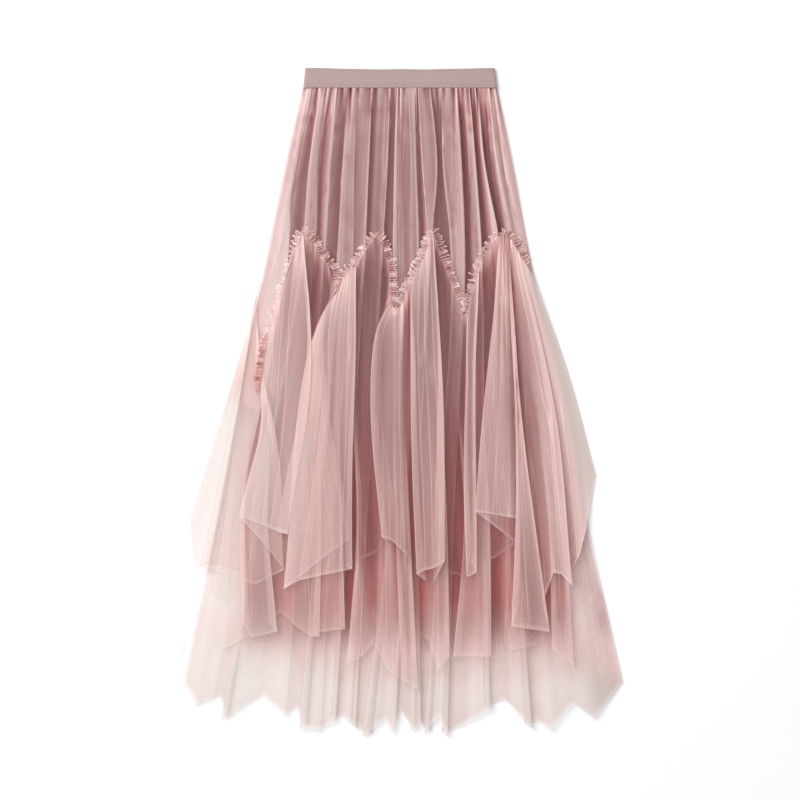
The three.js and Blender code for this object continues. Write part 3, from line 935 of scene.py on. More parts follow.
# Fold lines of the skirt: x at four heights, y at the hem, how far each stands up, its kind,
# how far it bows out above the hem, and how far its hidden fold lies to the side
SKIRT_COLUMNS = ("waist", "hip", "foot", "hem_x", "hem_y", "stand", "kind", "bow", "tuck")
SKIRT_LINES = (
    (-139, -164, -184, -308, -391, 0.3, "s", 0, 0),
    (-134, -153, -172, -288, -425, 0.7, "s", 0, 0),
    (-130, -148, -163, -274, -418, 0.35, "s", 0, 0),
    (-125, -143, -155, -265, -414, 0.5, "s", 0, 0),
    (-119, -134, -145, -258, -410, 0.05, "s", 0, 0),
    (-115, -130, -137, -254, -444, 1, "l", 0, 10),
    (-108, -120, -123, -223, -426, 0.7, "s", 0, 0),
    (-100, -113, -116, -197, -410, 0.2, "s", 0, 0),
    (-91, -101, -108, -164, -438, 0.9, "s", 0, 0),
    (-81, -88, -94, -148, -426, 0.05, "s", 0, 0),
    (-75, -83, -88, -145, -456, 1, "l", 0, 12),
    (-64, -69, -71, -115, -459, 0.8, "s", 0, 0),
    (-59, -65, -68, -107, -454, 0.35, "s", 0, 0),
    (-54, -58, -62, -100, -449, 0.75, "s", 0, 0),
    (-42, -47, -51, -93, -444, 1, "r", 0, 8),
    (-39, -43, -46, -85, -439, 0.1, "s", 0, 0),
    (-31, -36, -40, -76, -447, 0.7, "s", 0, 0),
    (-25, -31, -35, -71, -450, 0.45, "s", 0, 0),
    (-17, -21, -27, -65, -454, 0.8, "r", 0, 6),
    (-13, -15, -19, -59, -458, 0, "s", 4, 0),
    (-9, -11, -12, -57, -468, 1, "l", 18, 14),
    (-5, -6, -4, -40, -454, 0.85, "s", 14, 0),
    (-1, 1, 6, -24, -444, 0.4, "s", 8, 0),
    (9, 12, 12, -13, -463, 0.9, "s", 6, 0),
    (17, 19, 22, -8, -444, 1, "r", 2, 6),
    (19, 21, 24, -5, -429, 0.45, "s", 2, 0),
    (21, 27, 33, 12, -460, 0.95, "l", -2, 7),
    (39, 48, 40, 27, -447, 1, "r", -8, 8),
    (47, 53, 52, 28, -449, 0, "s", -4, 0),
    (55, 57, 68, 30, -464, 0.9, "l", 2, 9),
    (65, 66, 74, 40, -450, 0.6, "s", 2, 0),
    (73, 74, 78, 52, -438, 0.9, "s", 0, 0),
    (77, 82, 85, 65, -467, 1, "r", 0, 9),
    (80, 89, 92, 83, -453, 0, "s", 0, 0),
    (86, 94, 99, 106, -440, 0.7, "s", 0, 0),
    (94, 102, 108, 124, -428, 1, "r", 0, 10),
    (100, 108, 118, 144, -416, 0.2, "s", 0, 0),
    (104, 112, 125, 163, -436, 0.7, "s", 0, 0),
    (106, 115, 133, 182, -455, 1, "r", 0, 12),
    (113, 122, 139, 190, -447, 0.05, "s", 0, 0),
    (120, 132, 150, 208, -458, 0.9, "s", 0, 0),
    (125, 139, 156, 240, -422, 0.4, "s", 0, 0),
    (130, 146, 164, 268, -442, 0.7, "s", 0, 0),
    (132, 154, 172, 308, -391, 0.3, "s", 0, 0),
)

# Fold lines of the tiers, where a left or right fold has a hidden fold with its own x and y at the hem
TIER_COLUMNS = ("top", "middle", "hem_x", "hem_y", "stand", "kind", "tuck_x", "tuck_y", "billow", "top_y")
UPPER_LINES = (
    (-189, -246, -302, -172, 0.3, "s", 0, 0, 0, 194),
    (-198, -248, -296, -239, 0.6, "s", 0, 0, 0, 168),
    (-204, -236, -272, -234, 0.9, "r", -284, -229, 0, 148),
    (-204, -223, -241, -241, 0.1, "s", 0, 0, 0, 128),
    (-203.6, -213, -206, -254, 0.05, "s", 0, 0, 0, 112),
    (-198, -202, -227, -158, 1, "l", -164, -233),
    (-180, -188, -211, -164, 0.85, "s"),
    (-163, -176, -197, -170, 1, "s"),
    (-149, -163, -186, -176, 0.8, "s"),
    (-138, -128, -160, -184, 1, "r", -177, -180),
    (-118, -115, -127, -180, 0.15, "s"),
    (-104, -102, -99, -177, 0.1, "s"),
    (-92, -141, -165, -260, 1, "l", -71, -188, -17),
    (-86, -108, -141, -248, 0.8, "s", 0, 0, -12),
    (-79, -92, -113, -241, 0.65, "s", 0, 0, -6),
    (-74, -79, -88, -236, 0.85, "s"),
    (-65, -68, -69, -232, 1, "r", -79, -229),
    (-59, -62, -62, -220, 0.1, "s"),
    (-51, -51, -50, -215, 0.35, "s"),
    (-43, -41, -37, -209, 0.15, "s"),
    (-34, -33, -31, -200, 0.3, "s"),
    (-19, -30, -26, -188, 0.05, "s"),
    (-16, -34, -27, -187, 1, "l", -15, -198, -18),
    (-8, -18, -15, -192, 0.6, "s", 0, 0, -10),
    (-1, -4, -4, -204, 0.8, "s"),
    (6, 8, 10, -220, 0.2, "s"),
    (11, 12, 20, -240, 1, "l", 36, -250),
    (22, 24, 31, -234, 0.8, "s"),
    (30, 36, 40, -232, 0.95, "s"),
    (38, 48, 51, -227, 0.8, "s"),
    (43, 57, 59, -220, 1, "r", 43, -254),
    (52, 61, 62, -237, 0.2, "s"),
    (66, 72, 75, -240, 0.25, "s"),
    (85, 82, 83, -244, 0.05, "s"),
    (90, 86, 90, -243, 1, "l", 100, -192),
    (97, 93, 97, -241, 0.6, "s"),
    (107, 102, 103, -236, 0.95, "r", 94, -220),
    (120, 118, 128, -218, 0.35, "s"),
    (131, 134, 156, -198, 0.4, "s"),
    (135, 118, 103, -152, 1, "l", 158, -197),
    (141, 136, 125, -156, 0.8, "s"),
    (144, 146, 148, -160, 0.9, "s"),
    (145, 155, 162, -162, 0.6, "s"),
    (146, 158, 151, -312, 1, "l", 163, -279),
    (146, 163, 178, -316, 0.85, "s"),
    (148, 169, 205, -320, 1, "r", 194, -282),
    (155, 187, 211, -237, 0.7, "s"),
    (162, 203, 223, -240, 0.8, "s"),
    (167, 216, 238, -257, 0.95, "r", 229, -246),
    (173, 223, 246, -215, 0.45, "s"),
    (177, 231, 257, -177, 0.7, "s"),
    (178, 233, 262, -144, 0.5, "s"),
    (180, 232, 271, -102, 0.3, "s"),
)
LOWER_LINES = (
    (-228, -248, -276, -321, 0.3, "s"),
    (-220, -240, -250, -344, 0.9, "s"),
    (-211, -227, -225, -306, 0.5, "l", -211, -324),
    (-197, -211, -211, -328, 0.8, "s"),
    (-178, -188, -175, -320, 1, "r", -188, -307),
    (-172, -180, -170, -293, 0, "s"),
    (-155, -158, -149, -312, 0.6, "s"),
    (-136, -136, -127, -327, 0.9, "s"),
    (-118, -113, -116, -327, 1, "r", -127, -323),
    (-108, -102, -97, -318, 0.7, "s"),
    (-90, -85, -80, -316, 1, "r", -90, -307),
    (-83, -79, -78, -332, 0.05, "s"),
    (-74, -64, -77, -363, 1, "l", -62, -346),
    (-65, -59, -57, -355, 0.8, "s"),
    (-54, -46, -40, -335, 0.3, "s"),
    (-34, -24, -22, -372, 0.8, "s"),
    (-15, -9, -1, -388, 0.6, "l", 9, -394),
    (2, 12, 22, -401, 1, "r", 12, -397),
    (10, 19, 26, -324, 0.05, "s"),
    (24, 30, 36, -332, 0.5, "s"),
    (38, 48, 50, -372, 0.9, "s"),
    (52, 62, 66, -355, 1, "r", 57, -346),
    (64, 68, 69, -332, 0.05, "s"),
    (74, 86, 71, -355, 0.9, "l", 83, -346),
    (94, 100, 100, -354, 0.7, "s"),
    (111, 122, 124, -355, 1, "r", 114, -346),
    (120, 127, 131, -327, 0.1, "s"),
    (136, 145, 153, -346, 0.6, "s"),
    (158, 173, 181, -340, 0.3, "s"),
    (176, 194, 205, -332, 0, "s"),
    (186, 204, 209, -344, 1, "l", 220, -349),
    (192, 216, 229, -362, 0.6, "s"),
    (198, 227, 240, -369, 1, "r", 230, -358),
    (202, 234, 257, -340, 0.2, "s"),
    (206, 241, 274, -321, 0.3, "s"),
)

# Zigzag lines that the tiers are stitched along, as x and y
UPPER_SEAM = (
    (-214, 118), (-211, 60), (-204, 10), (-198, 46), (-190, 94), (-176, 146), (-160, 190),
    (-148, 223), (-138, 239),
    (-124, 223), (-113, 202), (-97, 187), (-92, 156), (-80, 181), (-65, 190), (-51, 214), (-37, 234),
    (-26, 218), (-18, 188), (-15, 114), (-1, 139), (10, 162), (18, 181), (30, 202), (43, 239),
    (54, 205), (66, 174), (78, 142), (88, 114), (96, 149), (106, 183), (115, 205), (128, 225),
    (141, 236), (152, 230), (162, 211), (180, 184),
)
LOWER_SEAM = (
    (-228, 2), (-204, -16), (-164, 31), (-118, 2), (-71, 38), (2, -4), (46, 43), (94, 6), (136, 43),
    (190, -1), (206, 10),
)

# Sides of the skirt without its tiers, as y, left and right
SIDES = (
    (-391, -308, 308), (-275, -281, 279), (-181, -264, 258), (-66, -246, 229), (86, -223, 201),
    (184, -197, 182), (255, -179, 168), (354, -159, 150), (440, -139, 132),
)
WAIST_Y = 440.0
BACK_WIDTH = 0.985

# Where the lobes of the upper seam end, as x, and how far below the seam its stitches lie
LOBE_ENDS = (-204, -92, -15, 88, 180)
STITCH_DROP = 1.2


def sides_at(y: Union[float, Array]) -> Tuple[Array, Array]:
    """Left and right side of the skirt at y."""
    ys, left, right = zip(*SIDES)
    return np.interp(y, ys, left), np.interp(y, ys, right)


def seam_at(seam: Sequence[Tuple[float, float]], x: Union[float, Array]) -> Array:
    """Height y of a zigzag seam at x."""
    xs, ys = zip(*seam)
    return np.interp(x, xs, ys)


class Route:
    """A line through points, which can be read at any distance along it."""

    def __init__(self, seam: Sequence[Tuple[float, float]], start: float, end: float,
                 down: float = 0.0) -> None:
        """Takes the part of a seam from x `start` to x `end`, moved down a little."""
        self.points = np.array([(x, y - down) for x, y in seam if start <= x <= end], float)
        steps = np.hypot(*np.diff(self.points, axis=0).T)
        self.reach = np.concatenate([[0.0], np.cumsum(steps)])
        self.length = self.reach[-1]

    def at(self, where: Union[float, Array]) -> Array:
        """Points at distances along it."""
        return np.stack([np.interp(where, self.reach, self.points[:, k]) for k in (0, 1)], -1)


@dataclass
class Skirt:
    """The gathered net skirt, front and back, and its lining."""

    hip_y: float = 332.5
    foot_y: float = 234.5
    rows: int = 84
    step: float = 4.2
    back_z: float = 1.6
    lining_z: float = 3.4
    lining_hem: float = -365.0
    lining_rows: int = 60
    lining_columns: int = 220
    lining_gap: float = 1.4
    low_share: float = 0.62
    lining_inset: Tuple[Tuple[float, float, float], ...] = (
        (-365.0, 78.0, 60.0), (-200.0, 46.0, 40.0), (-110.0, 32.0, 32.0), (60.0, 44.0, 36.0),
        (195.0, 34.0, 28.0), (285.0, 16.0, 16.0), (440.0, 12.0, 12.0))
    depths: Depths = Depths(
        stations=(0.0, 0.06, 0.25, 0.6, 1.0),
        folds=(1.2, 5.0, 8.0, 6.0, 5.0),
        gathers=Waves(29.0, 2.2, 11, spread=0.3),
        gather_fade=32.0,
        pinch=0.6,
        trough_pitch=9.3,
        ripples=Waves(25.0, 0.4, 12),
        fullness=0.8,
        tone=0.5,
        sway=2.0,
        hem_line=0.15,
        covered=(0.27, 0.9, 0.62),
        calm=0.9,
        hem_fullness=1.0,
        full_right=2.2,
    )

    def lines(self, reach: float = 1.0, width: float = 1.0) -> List[FoldLine]:
        """Fold lines of the net, for the front, or for the shorter and plainer back.

        Args:
            reach: how much of the front's length below the lining's hem it has.
            width: how much of the front's width it has.

        Returns:
            The lines, from left to right.
        """
        made = []
        for row in SKIRT_LINES:
            at = dict(zip(SKIRT_COLUMNS, row))
            hem = self.lining_hem + (at["hem_y"] - self.lining_hem) * reach
            length = WAIST_Y - hem
            hip, foot = (WAIST_Y - self.hip_y) / length, (WAIST_Y - self.foot_y) / length
            foot_share = (self.low_share - foot) / (1 - foot)
            low_x = at["foot"] + (at["hem_x"] - at["foot"]) * foot_share + at["bow"]
            places = (at["waist"], at["hip"], at["foot"], low_x, at["hem_x"])
            kind = Kind(at["kind"]) if reach == 1.0 else Kind.SOFT
            side = 1.0 if kind is Kind.LEFT else -1.0
            made.append(FoldLine(
                (0.0, hip, foot, self.low_share, 1.0), tuple(p * width for p in places), WAIST_Y, hem,
                at["stand"], kind, (at["hem_x"] + side * at["tuck"], hem + 6.0)))
        return made

    def _lining(self, name: str, z: float, folds: float, seed: int) -> Cloth:
        """One layer of lining, with the folds of the net over it pressed softly into it.

        Args:
            name: the piece's name.
            z: how high it lies.
            folds: how high its folds are.
            seed: for its folds.

        Returns:
            The sheet.
        """
        rows, columns = self.lining_rows, self.lining_columns
        y = np.linspace(WAIST_Y, self.lining_hem, rows)[:, None] * np.ones(columns)[None, :]
        left, right = sides_at(y[:, 0])
        heights, left_inset, right_inset = zip(*self.lining_inset)
        share = np.linspace(0, 1, columns)
        left = left + np.interp(y[:, 0], heights, left_inset)
        right = right - np.interp(y[:, 0], heights, right_inset)
        x = left[:, None] * (1 - share) + right[:, None] * share
        across = share * (x[-1, -1] - x[-1, 0])
        wide = Waves(58.0, folds, seed)(across[None, :] + 0.05 * y)
        soft = wide + Waves(21.0, 0.4 * folds, seed + 1)(across[None, :])
        relief = np.maximum(soft + folds, 0.0)
        light = 0.62 + 0.38 * ramp(soft, -folds, folds)
        light = light * (1 - 0.7 * self.depths.troughs(x[0], WAIST_Y - y))
        down = (WAIST_Y - y) / (WAIST_Y - self.lining_hem)
        ragged = y + Waves(46.0, 9.0, seed + 2)(x)
        fade = 1 - 0.98 * ramp(-ragged, -self.lining_hem - 92, -self.lining_hem)
        return Cloth(name, x, y, z + relief, across[None, :], fade * Cloth.MOST_THREADS, light, down)

    def build(self, bed: HeightField, net: NetFinish, cloth: LiningFinish,
              shadows: Sequence[HemShadow]) -> None:
        """Makes the back, the two linings and the front, in the order in which they lie.

        Args:
            bed: what is laid already.
            net: finish of the net.
            cloth: finish of the lining.
            shadows: shades of the tiers over them.
        """
        net_material, cloth_material = net.build(), cloth.build()
        flat = Depths((0.0, 1.0), (0.7, 0.7), Waves(30.0, 0.2, 21), 30.0, Waves(45.0, 0.15, 22), 0.8)
        sheet = GatheredSheet("skirt_back_net", self.lines(0.93, BACK_WIDTH), flat, 40, 9.0)
        back = sheet.lay(bed, 0.0, self.back_z)
        piece = back.build()
        ship(piece, net_material, ["skirt_back"])
        declare(piece, back.cut())
        front_z = self.lining_z + self.lining_gap
        for side, z, folds, seed in (("back", self.lining_z, 0.3, 31), ("front", front_z, 0.8, 33)):
            sheet = self._lining(f"lining_{side}_cloth", z, folds, seed)
            for shadow in shadows:
                sheet.light = sheet.light * shadow(sheet.x, sheet.y)
            bed.lay(sheet.x, sheet.y, sheet.z)
            piece = sheet.build()
            ship(piece, cloth_material, [f"lining_{side}"])
            declare(piece, sheet.cut())
        sheet = GatheredSheet("skirt_front_net", self.lines(), self.depths, self.rows, self.step, shadows)
        front = sheet.lay(bed, 0.4)
        piece = front.build()
        ship(piece, net_material, ["skirt_front"])
        declare(piece, front.cut())


@dataclass
class Tier:
    """A gathered net tier, front and back, stitched to the skirt along a zigzag line."""

    name: str
    table: Sequence[Sequence]
    seam: Sequence[Tuple[float, float]]
    back_z: float
    back_reach: float
    depths: Depths
    rows: int = 64
    step: float = 3.6

    def lines(self, reach: float = 1.0, width: float = 1.0) -> List[FoldLine]:
        """Fold lines of the front, or of the plainer back.

        Args:
            reach: how much of the front's length it has.
            width: how much of the front's width it has.

        Returns:
            The lines, from left to right.
        """
        made = []
        for row in self.table:
            at = dict(zip(TIER_COLUMNS, row))
            top = float(at.get("top_y", seam_at(self.seam, at["top"])))
            hem = top + (at["hem_y"] - top) * reach
            kind = Kind(at["kind"]) if reach == 1.0 else Kind.SOFT
            tuck = (at.get("tuck_x", 0.0), at.get("tuck_y", 0.0))
            places = tuple(p * width for p in (at["top"], at["middle"], at["hem_x"]))
            swing = at.get("billow", 0.0)
            made.append(FoldLine((0.0, 0.5, 1.0), places, top, hem, at["stand"], kind, tuck, swing))
        return made

    def build_back(self, net: bpy.types.Material, bed: HeightField) -> None:
        """Makes the back, which lies under the skirt.

        Args:
            net: its material.
            bed: what is laid already, which the back is added to.
        """
        flat = Depths((0.0, 1.0), (0.4, 0.4), Waves(30.0, 0.15, 41), 20.0, Waves(45.0, 0.1, 42), 0.8,
                      hem_line=0.03, thin_side=0.8)
        sheet = GatheredSheet(f"{self.name}_back_net", self.lines(self.back_reach, BACK_WIDTH), flat, 20, 9.0)
        cloth = sheet.lay(HeightField(), 0.0, self.back_z)
        bed.lay(cloth.x, cloth.y, cloth.z)
        piece = cloth.build()
        ship(piece, net, [f"{self.name}_back"])
        declare(piece, cloth.cut())

    def shadow(self, depth: float, reach: float) -> HemShadow:
        """The shade behind the front and below its hem.

        Args:
            depth: how much light it takes.
            reach: how far below the hem it goes.

        Returns:
            The shade.
        """
        hem = sorted((line.places[-1], line.hem) for line in self.lines())
        x, y = np.array(hem).T
        return HemShadow(self.seam, x, y, depth, reach)

    def build_front(self, net: bpy.types.Material, bed: HeightField, shadows: Sequence[HemShadow]) -> None:
        """Makes the front.

        Args:
            net: its material.
            bed: what is laid already.
            shadows: shades of the tier over it.
        """
        name = f"{self.name}_front_net"
        sheet = GatheredSheet(name, self.lines(), self.depths, self.rows, self.step, shadows)
        cloth = sheet.lay(bed, 0.5)
        piece = cloth.build()
        ship(piece, net, [f"{self.name}_front"])
        declare(piece, cloth.cut())


@dataclass
class Heading:
    """The ruffled upper edge of a tier, standing off its seam."""

    seam: Sequence[Tuple[float, float]]
    width: float = 9.5
    under: float = 1.5
    pitch: float = 3.0
    rise: float = 1.5
    start: float = 3.0
    taper: float = 26.0
    look: float = 5.0
    samples: int = 8
    strips: int = 7
    bed_reach: int = 2
    gap: float = 0.3

    # Where the left end is fuller and darker, with more cloth and painted shade, and where the first slope
    # has few tufts, as x at none and at all of it
    END_X = (-187.0, -193.0)
    FIRST_SLOPE_X = (-142.0, -165.0)

    def build(self, name: str, start_x: float, end_x: float, bed: HeightField, seed: int) -> Cloth:
        """One lobe of it.

        Args:
            name: the piece's name.
            start_x, end_x: where the lobe starts and ends.
            bed: what it lies on.
            seed: for its unevenness.

        Returns:
            The strip.
        """
        route = Route(self.seam, start_x, end_x)
        length = route.length
        count = int(length / self.pitch * self.samples)
        at = np.linspace(self.start, length - self.start, count)
        draw = np.random.default_rng(seed)
        wobble = Waves(self.pitch * 6, 1.0, seed + 1)(at)
        along = route.at(np.minimum(at + self.look, length)) - route.at(np.maximum(at - self.look, 0))
        along /= np.linalg.norm(along, axis=1)[:, None]
        out = np.stack([-along[:, 1], along[:, 0]], -1)
        taper = 0.25 + 0.75 * ramp(np.minimum(at, length - at), 0, self.taper)
        uneven = 1 + 0.22 * Waves(self.pitch * 2.2, 1.0, seed + 2)(at) + 0.02 * draw.normal(size=count)
        bold = 0.6 + 0.4 * Waves(self.pitch * 5.0, 1.0, seed + 4)(at)
        falling = ramp(along[:, 1], 0.25, -0.25)
        pitch = self.pitch * (1.35 - 0.35 * falling)
        phase = 2 * math.pi * (np.cumsum((at[1] - at[0]) / pitch) + 0.35 * wobble)
        end_band = ramp(route.at(at)[:, 0], *self.END_X)
        first_slope = ramp(route.at(at)[:, 0], *self.FIRST_SLOPE_X) * (1 - 0.75 * end_band)
        tufts = 0.3 + 0.7 * ramp(Waves(30.0, 1.0, seed + 5)(at), -0.2, 0.9)
        steep = 0.72 + 0.28 * ramp(np.abs(along[:, 1]), 0.2, 0.8)
        width = self.width * taper * uneven * steep * (1 - first_slope * (1 - 0.6 * tufts))
        lean = Waves(self.pitch * 2.3, 2.3, seed + 3)(at) * (1.3 - 0.7 * falling)
        curl = 0.45 * ramp(Waves(self.pitch * 2.3, 1.0, seed + 6)(at), -0.5, 1.0) * (1 - 0.6 * falling)
        rows = []
        for k in range(self.strips):
            share = k / (self.strips - 1)
            turned = share - curl * max(share - 0.6, 0.0) * 2.5
            spread = route.at(at) + out * ((width + self.under) * turned - self.under)[:, None]
            spread += along * (np.sin(phase + 0.8) * 1.4 * share + lean * share * share)[:, None]
            height = self.rise * taper * bold * (0.35 + 0.65 * share) * (1 + np.sin(phase))
            rows.append(np.concatenate([spread, height[:, None]], 1))
        grid = np.array(rows)[::-1]
        x, y = grid[..., 0], grid[..., 1]
        below = bed.read(bed.bed(self.bed_reach, self.bed_reach), x, y)
        z = grid[..., 2] + below + self.gap
        # Painted shade in the troughs of the ruffle and on its falling slopes, deeper over the left end
        ruffle_shade = (0.34 + 0.2 * falling) * bold * (1 - ramp(np.sin(phase), -0.3, 0.95)) + 0.16 * falling
        light = (Cloth.FULL_LIGHT - ruffle_shade - 0.34 * end_band)[None, :] * np.ones_like(x)
        # Painted highlight along the ruffle's outer edge, dimmer at the left end
        edge = np.zeros_like(x)
        edge[0] = 0.5 - 0.4 * end_band
        threads = (2.4 + 1.2 * np.sin(phase) + 1.5 * end_band)[None, :] * np.ones_like(x)
        return Cloth(name, x, y, z, (at * 2.2)[None, :], threads, light, edge)


@dataclass
class Waistband:
    """A flattened loop of wide elastic."""

    low: float = WAIST_Y + 0.3
    height: float = 27.7
    dip: float = 2.0
    bottom: Tuple[float, float] = (-139.0, 132.5)
    top: Tuple[float, float] = (-136.5, 129.0)
    thick: float = 7.4
    rib: float = 0.18
    ribs: int = 9
    wall: float = 1.8
    straight: int = 130
    round: int = 12
    rows: int = 56
    top_rows: int = 5
    inner_rows: int = 12
    bottom_rows: int = 4

    def build(self, finish: ElasticFinish) -> None:
        """Makes the outer face, both edges and the inner face as one closed wall.

        Args:
            finish: the elastic's finish.
        """
        middle = self.thick / 2
        turn = np.linspace(-math.pi / 2, math.pi / 2, self.round, endpoint=False)
        line = np.linspace(0, 1, self.straight, endpoint=False)
        profile = np.concatenate([
            np.linspace(0, 1, self.rows), np.ones(self.top_rows),
            np.linspace(1, 0, self.inner_rows), np.zeros(self.bottom_rows + 1)])
        depth = np.concatenate([
            np.zeros(self.rows), np.linspace(0, 1, self.top_rows + 2)[1:-1],
            np.ones(self.inner_rows), np.linspace(1, 0, self.bottom_rows + 2)[1:]])
        rows = []
        for share, inward in zip(profile, depth):
            left, right = (self.bottom[k] + (self.top[k] - self.bottom[k]) * share for k in (0, 1))
            start, end = left + middle, right - middle
            outer = 1.0 if inward == 0 else 0.0
            ribbed = outer * self.rib * (math.sin(2 * math.pi * self.ribs * share) - 1)
            radius = middle - self.wall * inward + ribbed
            x = np.concatenate([
                start + (end - start) * line, end + radius * np.cos(turn),
                end + (start - end) * line, start - radius * np.cos(turn)])
            z = middle + np.concatenate([
                -radius * np.ones(self.straight), radius * np.sin(turn),
                radius * np.ones(self.straight), -radius * np.sin(turn)])
            sag = self.dip * np.clip(1 - (x / self.top[1]) ** 2, 0, 1)
            y = self.low + (self.height - sag) * share + 0.35 * Waves(70.0, 1.0, 51)(x) * share
            rows.append(np.stack([x, y, np.clip(z, 0.0, None)], -1))
        grid = np.array(rows)
        across = np.concatenate([[0.0], np.cumsum(np.hypot(*np.diff(grid[0, :, [0, 2]], axis=1)))])
        light = np.ones(grid.shape[:2])
        from_middle = np.abs(profile[: self.rows] - 0.5)[:, None]
        light[: self.rows] *= 0.72 + 0.28 * np.clip(1 - from_middle * 1.2, 0, 1)
        cloth = Cloth("elastic_band", grid[..., 0], grid[..., 1], grid[..., 2], across[None, :],
                      np.ones(grid.shape[:2]), light, np.zeros(grid.shape[:2]))
        piece = cloth.build(closed=True)
        ship(piece, finish.build(), ["waistband"])


@dataclass
class Stitching:
    """Rows of small stitches along the seams."""

    length: float = 2.4
    pitch: float = 3.4
    thick: float = 0.28
    sides: int = 6
    stations: Tuple[float, ...] = (0.0, 0.25, 0.75, 1.0)
    end_thick: float = 0.45

    def build(self, name: str, route: Route, bed: HeightField, thread: bpy.types.Material) -> None:
        """One row of stitches.

        Args:
            name: the piece's name.
            route: the line that it follows.
            bed: what it is sewn on.
            thread: its material.
        """
        sides, last = self.sides, len(self.stations) - 1
        points, quads = [], []
        for start in np.arange(1.0, route.length - self.length, self.pitch):
            first = len(points)
            dx, dy = route.at(start + self.length) - route.at(start)
            size = math.hypot(dx, dy)
            for k, share in enumerate(self.stations):
                x, y = (float(v) for v in route.at(start + share * self.length))
                z = float(bed.read(bed.top, np.array(x), np.array(y))) + self.thick
                radius = self.thick * (self.end_thick if k in (0, last) else 1.0)
                for s in range(sides):
                    a = 2 * math.pi * s / sides
                    points.append((
                        (x - dy / size * radius * math.cos(a)) * MM,
                        (y + dx / size * radius * math.cos(a)) * MM,
                        (z + radius * math.sin(a)) * MM))
            for k in range(last):
                for s in range(sides):
                    a, b = first + k * sides + s, first + k * sides + (s + 1) % sides
                    quads.append((a, a + sides, b + sides, b))
            quads.append(tuple(first + s for s in range(sides)))
            quads.append(tuple(first + last * sides + s for s in reversed(range(sides))))
        mesh = bpy.data.meshes.new(name)
        mesh.from_pydata(points, [], quads)
        piece = bpy.data.objects.new(name, mesh)
        bpy.context.collection.objects.link(piece)
        ship(piece, thread, [])


@dataclass
class Studio:
    """White floor, soft light and the camera over the skirt."""

    frame_width: float = 1.12
    centre: Tuple[float, float] = (-0.0035, 0.0035)
    height: float = 6.0
    sky: float = 0.62
    key_power: float = 165.0
    key_place: Tuple[float, float, float] = (-2.2, 1.9, 3.0)
    key_size: float = 3.0
    floor_half: float = 12.0
    floor_drop: float = 0.0006

    def build(self) -> None:
        """Makes the floor, world, lights and camera."""
        mesh = bpy.data.meshes.new("studio_floor")
        half = self.floor_half
        corners = [(-half, -half, 0), (half, -half, 0), (half, half, 0), (-half, half, 0)]
        mesh.from_pydata(corners, [], [(0, 1, 2, 3)])
        floor = bpy.data.objects.new("studio_floor", mesh)
        floor.location.z = -self.floor_drop
        bpy.context.collection.objects.link(floor)
        floor.data.materials.append(FloorFinish().build())
        scene = bpy.context.scene
        world = bpy.data.worlds.new("studio_sky")
        world.use_nodes = True
        world.node_tree.nodes["Background"].inputs[0].default_value = (1.0, 1.0, 1.0, 1.0)
        world.node_tree.nodes["Background"].inputs[1].default_value = self.sky
        scene.world = world
        self._light("key", self.key_place, self.key_power, self.key_size)
        data = bpy.data.cameras.new("camera")
        data.lens = data.sensor_width * self.height / self.frame_width
        data.clip_end = 50.0
        camera = bpy.data.objects.new("camera", data)
        camera.location = (*self.centre, self.height)
        bpy.context.collection.objects.link(camera)
        scene.camera = camera
        scene.view_settings.view_transform = "Standard"
        scene.cycles.transparent_max_bounces = 32

    def _light(self, name: str, place: Tuple[float, float, float], power: float, size: float) -> None:
        """Adds a square soft light that faces the skirt.

        Args:
            name: the light's name.
            place: where it is, in metres.
            power: its power in watts.
            size: its side in metres.
        """
        data = bpy.data.lights.new(name, "AREA")
        data.energy = power
        data.size = size
        light = bpy.data.objects.new(name, data)
        light.location = place
        direction = np.array(place)
        light.rotation_euler = (
            math.acos(direction[2] / np.linalg.norm(direction)), 0.0,
            math.atan2(direction[1], direction[0]) + math.pi / 2)
        bpy.context.collection.objects.link(light)


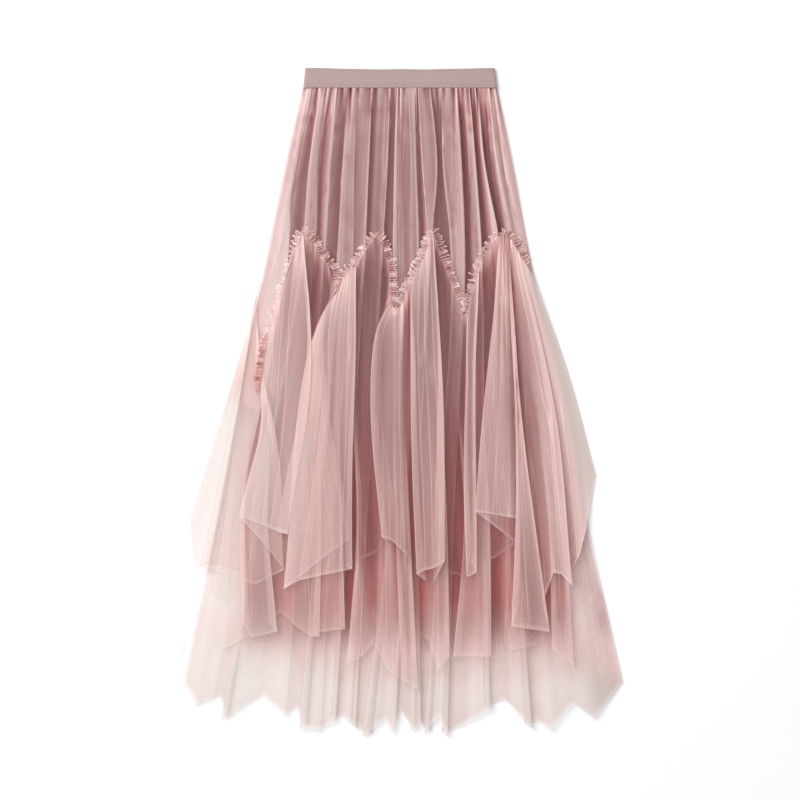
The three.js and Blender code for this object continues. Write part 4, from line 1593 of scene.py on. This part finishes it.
def main() -> None:
    """Makes the skirt from the bottom layer to the top one, then the stage."""
    logging.basicConfig(level=logging.INFO, format="%(name)s: %(message)s")
    bed = HeightField()
    tier_net = NetFinish("tier_tulle", light=(0.95, 0.675, 0.64), middle=(0.66, 0.345, 0.33),
                         deep=(0.30, 0.075, 0.072), pale=(0.84, 0.745, 0.705)).build()
    upper = Tier("upper_tier", UPPER_LINES, UPPER_SEAM, 0.2, 0.98, Depths(
        (0.0, 0.12, 0.4, 1.0), (1.2, 3.4, 5.2, 5.4), Waves(14.0, 1.5, 61, spread=0.6), 32.0,
        Waves(21.0, 0.4, 62), 1.2, tone=0.75, sway=2.2, hollow=0.65, hem_line=0.3, faint_left=-203.5,
        thin_side=0.75, full_right=3.4, pinch=0.3, right_shade=0.3, left_fullness=0.35))
    lower = Tier("lower_tier", LOWER_LINES, LOWER_SEAM, 1.0, 0.82, Depths(
        (0.0, 0.15, 0.5, 1.0), (1.0, 2.8, 4.4, 4.6), Waves(15.0, 0.8, 63), 14.0, Waves(23.0, 0.4, 64), 0.0,
        tone=0.7, hollow=0.75, hem_line=0.2, fade_in=170.0, thin_side=0.8, calm=0.8))
    upper.build_back(tier_net, bed)
    lower.build_back(tier_net, bed)
    upper_shade, lower_shade = upper.shadow(0.32, 38.0), lower.shadow(0.2, 26.0)
    Skirt().build(bed, NetFinish("skirt_tulle"), LiningFinish(), [upper_shade, lower_shade])
    heading_bed = HeightField()
    heading_bed.top = bed.top.copy()
    lower.build_front(tier_net, bed, [upper_shade])
    upper.build_front(tier_net, bed, [])
    heading = Heading(UPPER_SEAM)
    heading_net = NetFinish("heading_tulle", single=0.26, light=(0.92, 0.66, 0.63), middle=(0.62, 0.29, 0.27),
                            deep=(0.36, 0.10, 0.09)).build()
    lobes = list(enumerate(zip(LOBE_ENDS, LOBE_ENDS[1:]), 1))
    for k, (start, end) in lobes:
        cloth = heading.build(f"heading_{k}_ruffle", start, end, bed if k == 1 else heading_bed, 70 + 5 * k)
        piece = cloth.build()
        ship(piece, heading_net, [f"heading_{k}"])
        declare(piece, cloth.strip_cut())
    thread = ThreadFinish().build()
    for k, (start, end) in lobes:
        route = Route(UPPER_SEAM, start, end, STITCH_DROP)
        Stitching().build(f"seam_{k}_stitches", route, bed, thread)
    Waistband().build(ElasticFinish())
    Studio().build()
    LOG.info("highest cloth: %.1f mm", bed.top.max())


if __name__ == "__main__":
    main()
